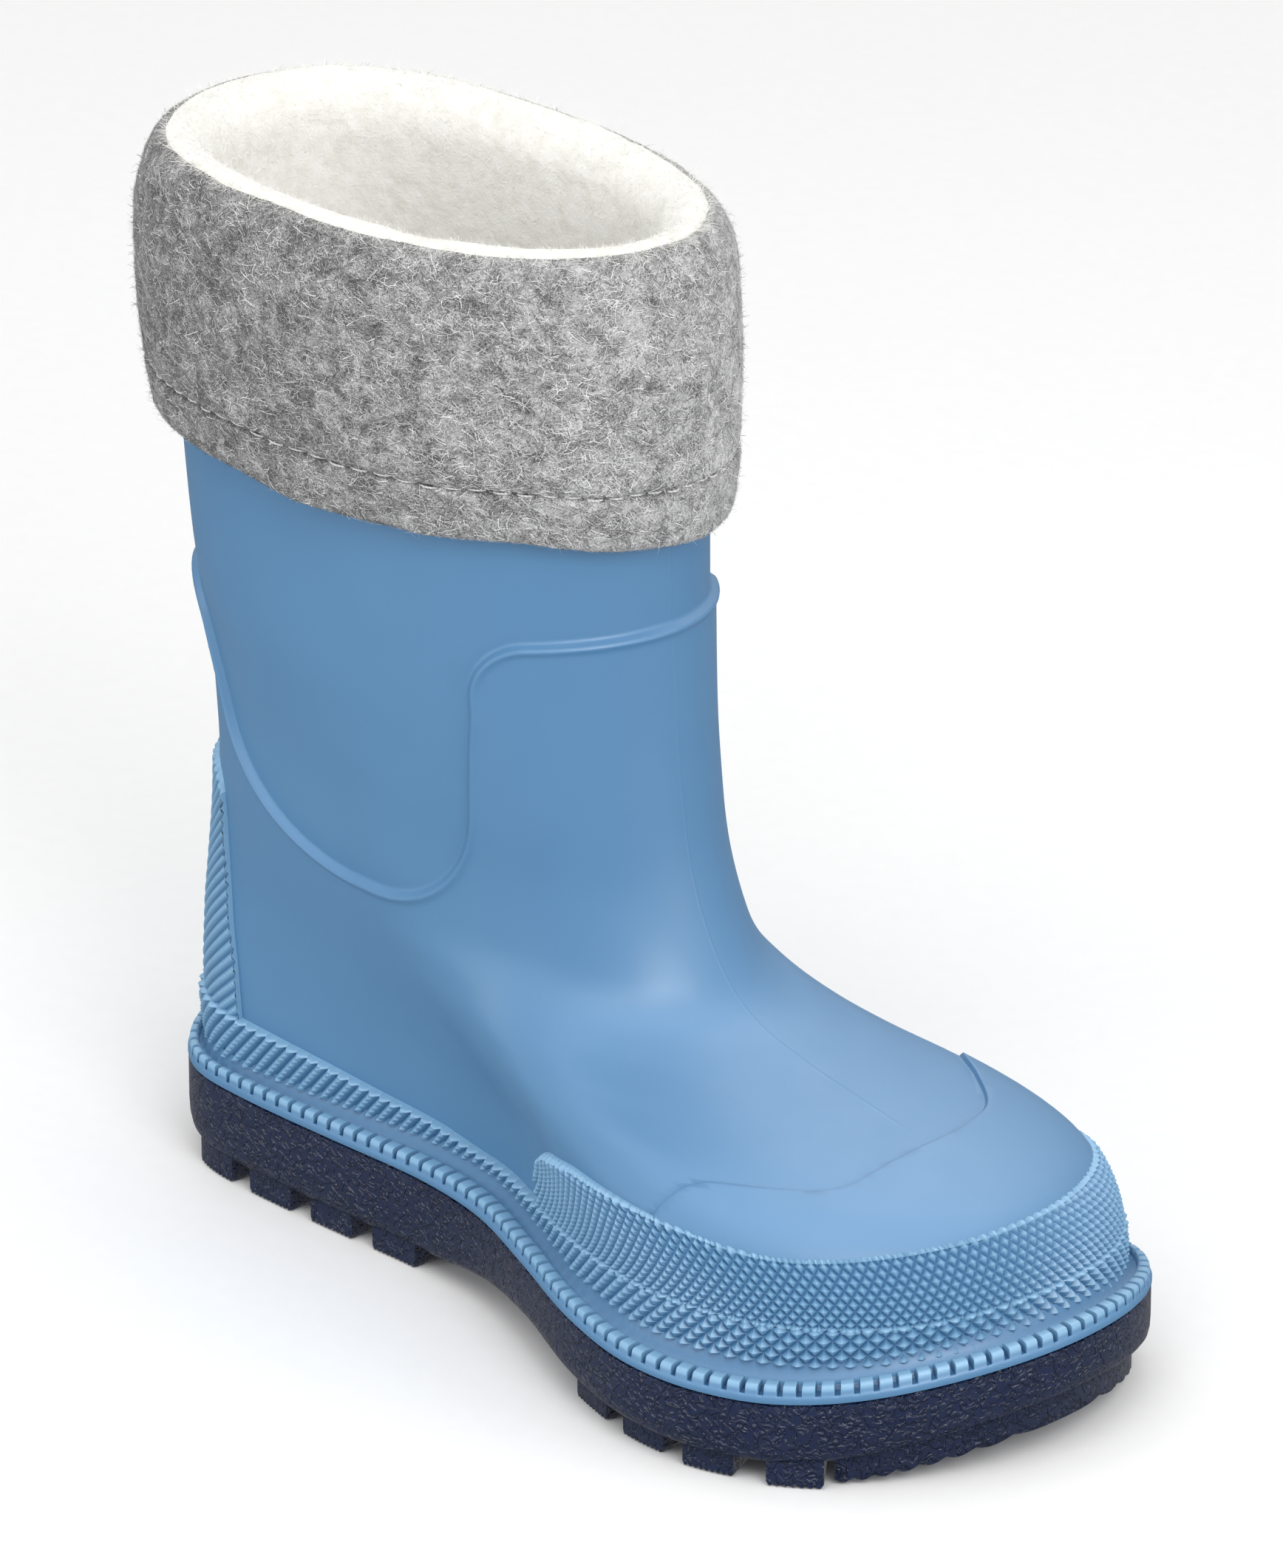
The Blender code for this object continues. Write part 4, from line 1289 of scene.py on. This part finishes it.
def new_look(name, **values):
    """A material, its node tree, its shader with the given values set, and a way to name places on it."""
    look = bpy.data.materials.new(name)
    look.use_nodes = True
    tree = look.node_tree
    shader = tree.nodes["Principled BSDF"]
    for socket, value in values.items():
        shader.inputs[socket.replace("_", " ")].default_value = value
    return look, tree, shader, node(tree, "TexCoord", {}).outputs["Object"]


def colours(tree, value, *stops):
    """A colour that changes with a value through (value, colour) stops."""
    made = node(tree, "ValToRGB", {"Fac": value})
    elements = made.color_ramp.elements
    while len(elements) < len(stops):
        elements.new(0.5)
    for element, (at, colour) in zip(elements, stops):
        element.position = at
        element.color = (*colour, 1.0)
    return made.outputs["Color"]


def paint(tree, shader, value, *stops):
    """Gives a shader a base colour that changes with a value through (value, colour) stops."""
    tree.links.new(colours(tree, value, *stops), shader.inputs["Base Color"])


def shade_value(tree):
    """The shade that a mesh stores at its points: painted highlight and painted shade on the knurl, the welt
    and the felt, and the fibres' own tones with painted light on the felt's hairs.
    """
    return node(tree, "Attribute", {}, attribute_name="shade").outputs["Fac"]


def lumps(tree, place, size, detail=2.0, distortion=0.0, roughness=0.5):
    """Noise with lumps about as large as size in millimetres."""
    inputs = {"Vector": place, "Scale": 1.0 / (size * MM)}
    inputs |= {"Detail": detail, "Distortion": distortion, "Roughness": roughness}
    return node(tree, "TexNoise", inputs).outputs["Fac"]


def spread(tree, value, low, high):
    """Noise stretched so that most of it runs from low to high."""
    inputs = {"Value": value, "From Min": 0.3, "From Max": 0.7, "To Min": low, "To Max": high}
    return node(tree, "MapRange", inputs).outputs["Result"]


def bump(tree, shader, *layers):
    """Bumps the surface by several (height, depth in millimetres) layers."""
    normal = None
    for value, depth in layers:
        inputs = {"Height": value, "Distance": depth * MM, "Strength": 1.0}
        if normal:
            inputs["Normal"] = normal
        normal = node(tree, "Bump", inputs).outputs["Normal"]
    tree.links.new(normal, shader.inputs["Normal"])


def blue_rubber():
    """Smooth blue rubber, with a painted highlight on the points of its knurl and the tops of the welt's
    teeth and painted shade in their grooves and gaps.
    """
    look, tree, shader, place = new_look("boot_rubber", Specular_IOR_Level=0.5)
    tint = colours(tree, lumps(tree, place, 30.0), (0.3, BLUE_DEEP), (0.7, BLUE_LIGHT))
    # Painted highlight on the points of the knurl and the tops of the welt's teeth, painted shade in the
    # grooves and gaps.
    stops = (0.1, (1.0, 1.0, 1.0)), (PAINTED_HIGHLIGHT_LEVEL, TIP_PAINTED_HIGHLIGHT), (0.65, FLANK_PAINTED_HIGHLIGHT), (1.0, GROOVE_PAINTED_SHADE)
    painted_highlight_and_shade = colours(tree, shade_value(tree), *stops)
    tint = node(tree, "MixRGB", {"Fac": 1.0, "Color1": tint, "Color2": painted_highlight_and_shade}, blend_type="MULTIPLY")
    tree.links.new(tint.outputs["Color"], shader.inputs["Base Color"])
    gloss = spread(tree, lumps(tree, place, 6.0, detail=4.0), 0.44, 0.49)
    tree.links.new(gloss, shader.inputs["Roughness"])
    bump(tree, shader, (lumps(tree, place, 0.7, detail=3.0), 0.008), (lumps(tree, place, 9.0), 0.05))
    return look


def navy_rubber():
    """Dark rubber with a grain like worms."""
    look, tree, shader, place = new_look("sole_rubber", Specular_IOR_Level=0.45)
    worms = lumps(tree, place, 1.5, detail=1.0, distortion=1.1)
    inputs = {"Value": worms, "From Min": 0.42, "From Max": 0.58}
    grain = node(tree, "MapRange", inputs, interpolation_type="SMOOTHSTEP").outputs["Result"]
    paint(tree, shader, lumps(tree, place, 9.0, detail=3.0), (0.3, NAVY_DEEP), (0.7, NAVY_LIGHT))
    gloss = spread(tree, lumps(tree, place, 3.0, detail=3.0), 0.22, 0.36)
    tree.links.new(gloss, shader.inputs["Roughness"])
    bump(tree, shader, (grain, 0.6), (lumps(tree, place, 0.5, detail=2.0), 0.06))
    return look


def grey_felt():
    """Wool felt in clumps and fibres of several greys, with painted light on its front and a painted shadow
    along its stitches.
    """
    look, tree, shader, place = new_look("felt", Roughness=0.95, Sheen_Weight=0.1, Sheen_Roughness=0.5)
    clumps = lumps(tree, place, 3.6, detail=3.0, distortion=0.5, roughness=0.6)
    fibres = lumps(tree, place, 0.5, detail=3.0, distortion=2.6, roughness=0.65)
    mixed = node(tree, "Mix", {"Factor": 0.66, "A": clumps, "B": fibres}).outputs["Result"]
    # Painted light on the felt's front and the painted shadow of its stitches, stored at its points, shift
    # its greys.
    inputs = {"Value": shade_value(tree), "To Min": -0.045, "To Max": 0.03}
    painted_light_and_shadow = node(tree, "MapRange", inputs, clamp=False).outputs["Result"]
    mixed = node(tree, "Math", {0: mixed, 1: painted_light_and_shadow}, operation="ADD").outputs["Value"]
    paint(tree, shader, mixed, (0.41, FELT_DARK), (0.49, FELT_MID), (0.575, FELT_LIGHT))
    bump(tree, shader, (fibres, 0.25), (clumps, 0.4))
    return look


def shaded_fibres(name, dark, light):
    """Fibres that each have their own shade, which on the felt's hairs includes painted light."""
    look, tree, shader, _ = new_look(name, Roughness=0.8, Sheen_Weight=0.2)
    paint(tree, shader, shade_value(tree), (0.0, dark), (1.0, light))
    return look


def white_fleece():
    look, tree, shader, place = new_look("fleece", Roughness=0.95, Sheen_Weight=0.4)
    paint(tree, shader, lumps(tree, place, 3.0, detail=4.0), (0.3, FLEECE_DEEP), (0.6, FLEECE_LIGHT))
    curls = lumps(tree, place, 0.6, detail=3.0, distortion=1.0)
    bump(tree, shader, (curls, 0.14), (lumps(tree, place, 2.2, detail=3.0), 0.3))
    return look


def insole_felt():
    look, tree, shader, place = new_look("insole_felt", Roughness=0.95, Sheen_Weight=0.2)
    clumps = lumps(tree, place, 2.0, detail=5.0, distortion=0.8)
    paint(tree, shader, clumps, (0.35, INSOLE_DARK), (0.65, INSOLE_LIGHT))
    bump(tree, shader, (lumps(tree, place, 0.5, detail=3.0), 0.2))
    return look


def grey_thread():
    look, tree, shader, place = new_look("thread", Roughness=0.75)
    inputs = {"Vector": place, "Scale": 700.0, "Distortion": 1.0}
    twist = node(tree, "TexWave", inputs, bands_direction="DIAGONAL").outputs["Fac"]
    paint(tree, shader, twist, (0.0, THREAD_DARK), (1.0, THREAD_LIGHT))
    bump(tree, shader, (twist, 0.05))
    return look


def pale_floor():
    look, tree, shader, place = new_look("floor", Roughness=0.8, Specular_IOR_Level=0.1)
    paint(tree, shader, lumps(tree, place, 4.0), (0.0, FLOOR_DEEP), (1.0, FLOOR_LIGHT))
    return look


def direction(azimuth, elevation):
    """Unit vector from the boot toward a viewer on that side."""
    a, e = math.radians(azimuth), math.radians(elevation)
    return Vector((math.sin(a) * math.cos(e), -math.cos(a) * math.cos(e), math.sin(e)))


def place_on(scene, made, target, azimuth, elevation, distance):
    """Puts a camera or light on a side of the boot, looking at the target."""
    target = Vector(np.array(target) - ORIGIN) * MM
    made.location = target + direction(azimuth, elevation) * distance * MM
    made.rotation_euler = (target - made.location).to_track_quat("-Z", "Y").to_euler()
    scene.collection.objects.link(made)


def add_camera(scene):
    lens = bpy.data.cameras.new("camera")
    lens.sensor_width = SENSOR
    lens.lens = PIXELS_PER_MM * DISTANCE / IMAGE_HEIGHT * SENSOR
    scene.camera = bpy.data.objects.new("camera", lens)
    place_on(scene, scene.camera, TARGET, AZIMUTH, ELEVATION, DISTANCE)


def add_lights(scene):
    for name, azimuth, elevation, distance, size, power, gloss_only in LIGHTS:
        light = bpy.data.lights.new(name, "AREA")
        light.shape = "DISK"
        light.size = size * MM
        light.energy = power
        lamp = bpy.data.objects.new(name, light)
        lamp.visible_diffuse = not gloss_only
        place_on(scene, lamp, TARGET, azimuth, elevation, distance)


def add_floor(scene):
    """A wide pale floor just under the lugs, which gloss doesn't show."""
    mesh = bpy.data.meshes.new("floor")
    half = FLOOR_HALF * MM
    corners = [(-half, -half, 0), (half, -half, 0), (half, half, 0), (-half, half, 0)]
    mesh.from_pydata(corners, [], [(0, 1, 2, 3)])
    mesh.materials.append(pale_floor())
    floor = bpy.data.objects.new("floor", mesh)
    floor.location.z = -FLOOR_DROP * MM
    floor.visible_glossy = False
    scene.collection.objects.link(floor)


def add_sky(scene):
    """Soft light from above the horizon, and less from below it."""
    world = bpy.data.worlds.new("studio")
    world.use_nodes = True
    tree = world.node_tree
    up = node(tree, "SeparateXYZ", {"Vector": node(tree, "TexCoord", {}).outputs["Generated"]}).outputs["Z"]
    sky = colours(tree, up, (0.0, (SKY_DARK,) * 3), (0.02, (SKY_LIGHT,) * 3))
    tree.links.new(sky, tree.nodes["Background"].inputs["Color"])
    scene.world = world


def add_studio():
    scene = bpy.context.scene
    scene.view_settings.view_transform = "Standard"
    add_camera(scene)
    add_lights(scene)
    add_floor(scene)
    add_sky(scene)


def main():
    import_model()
    blue, navy = blue_rubber(), navy_rubber()
    add_upper(blue)
    add_bands(blue)
    add_welt(blue)
    add_outsole(navy)
    add_insole(insole_felt())
    add_cuff(grey_felt(), grey_thread(), shaded_fibres("felt_fibres", FIBRE_DARK, FIBRE_LIGHT))
    add_lining(white_fleece(), shaded_fibres("fleece_fibres", FLEECE_DEEP, FLEECE_LIGHT))
    add_studio()


main()
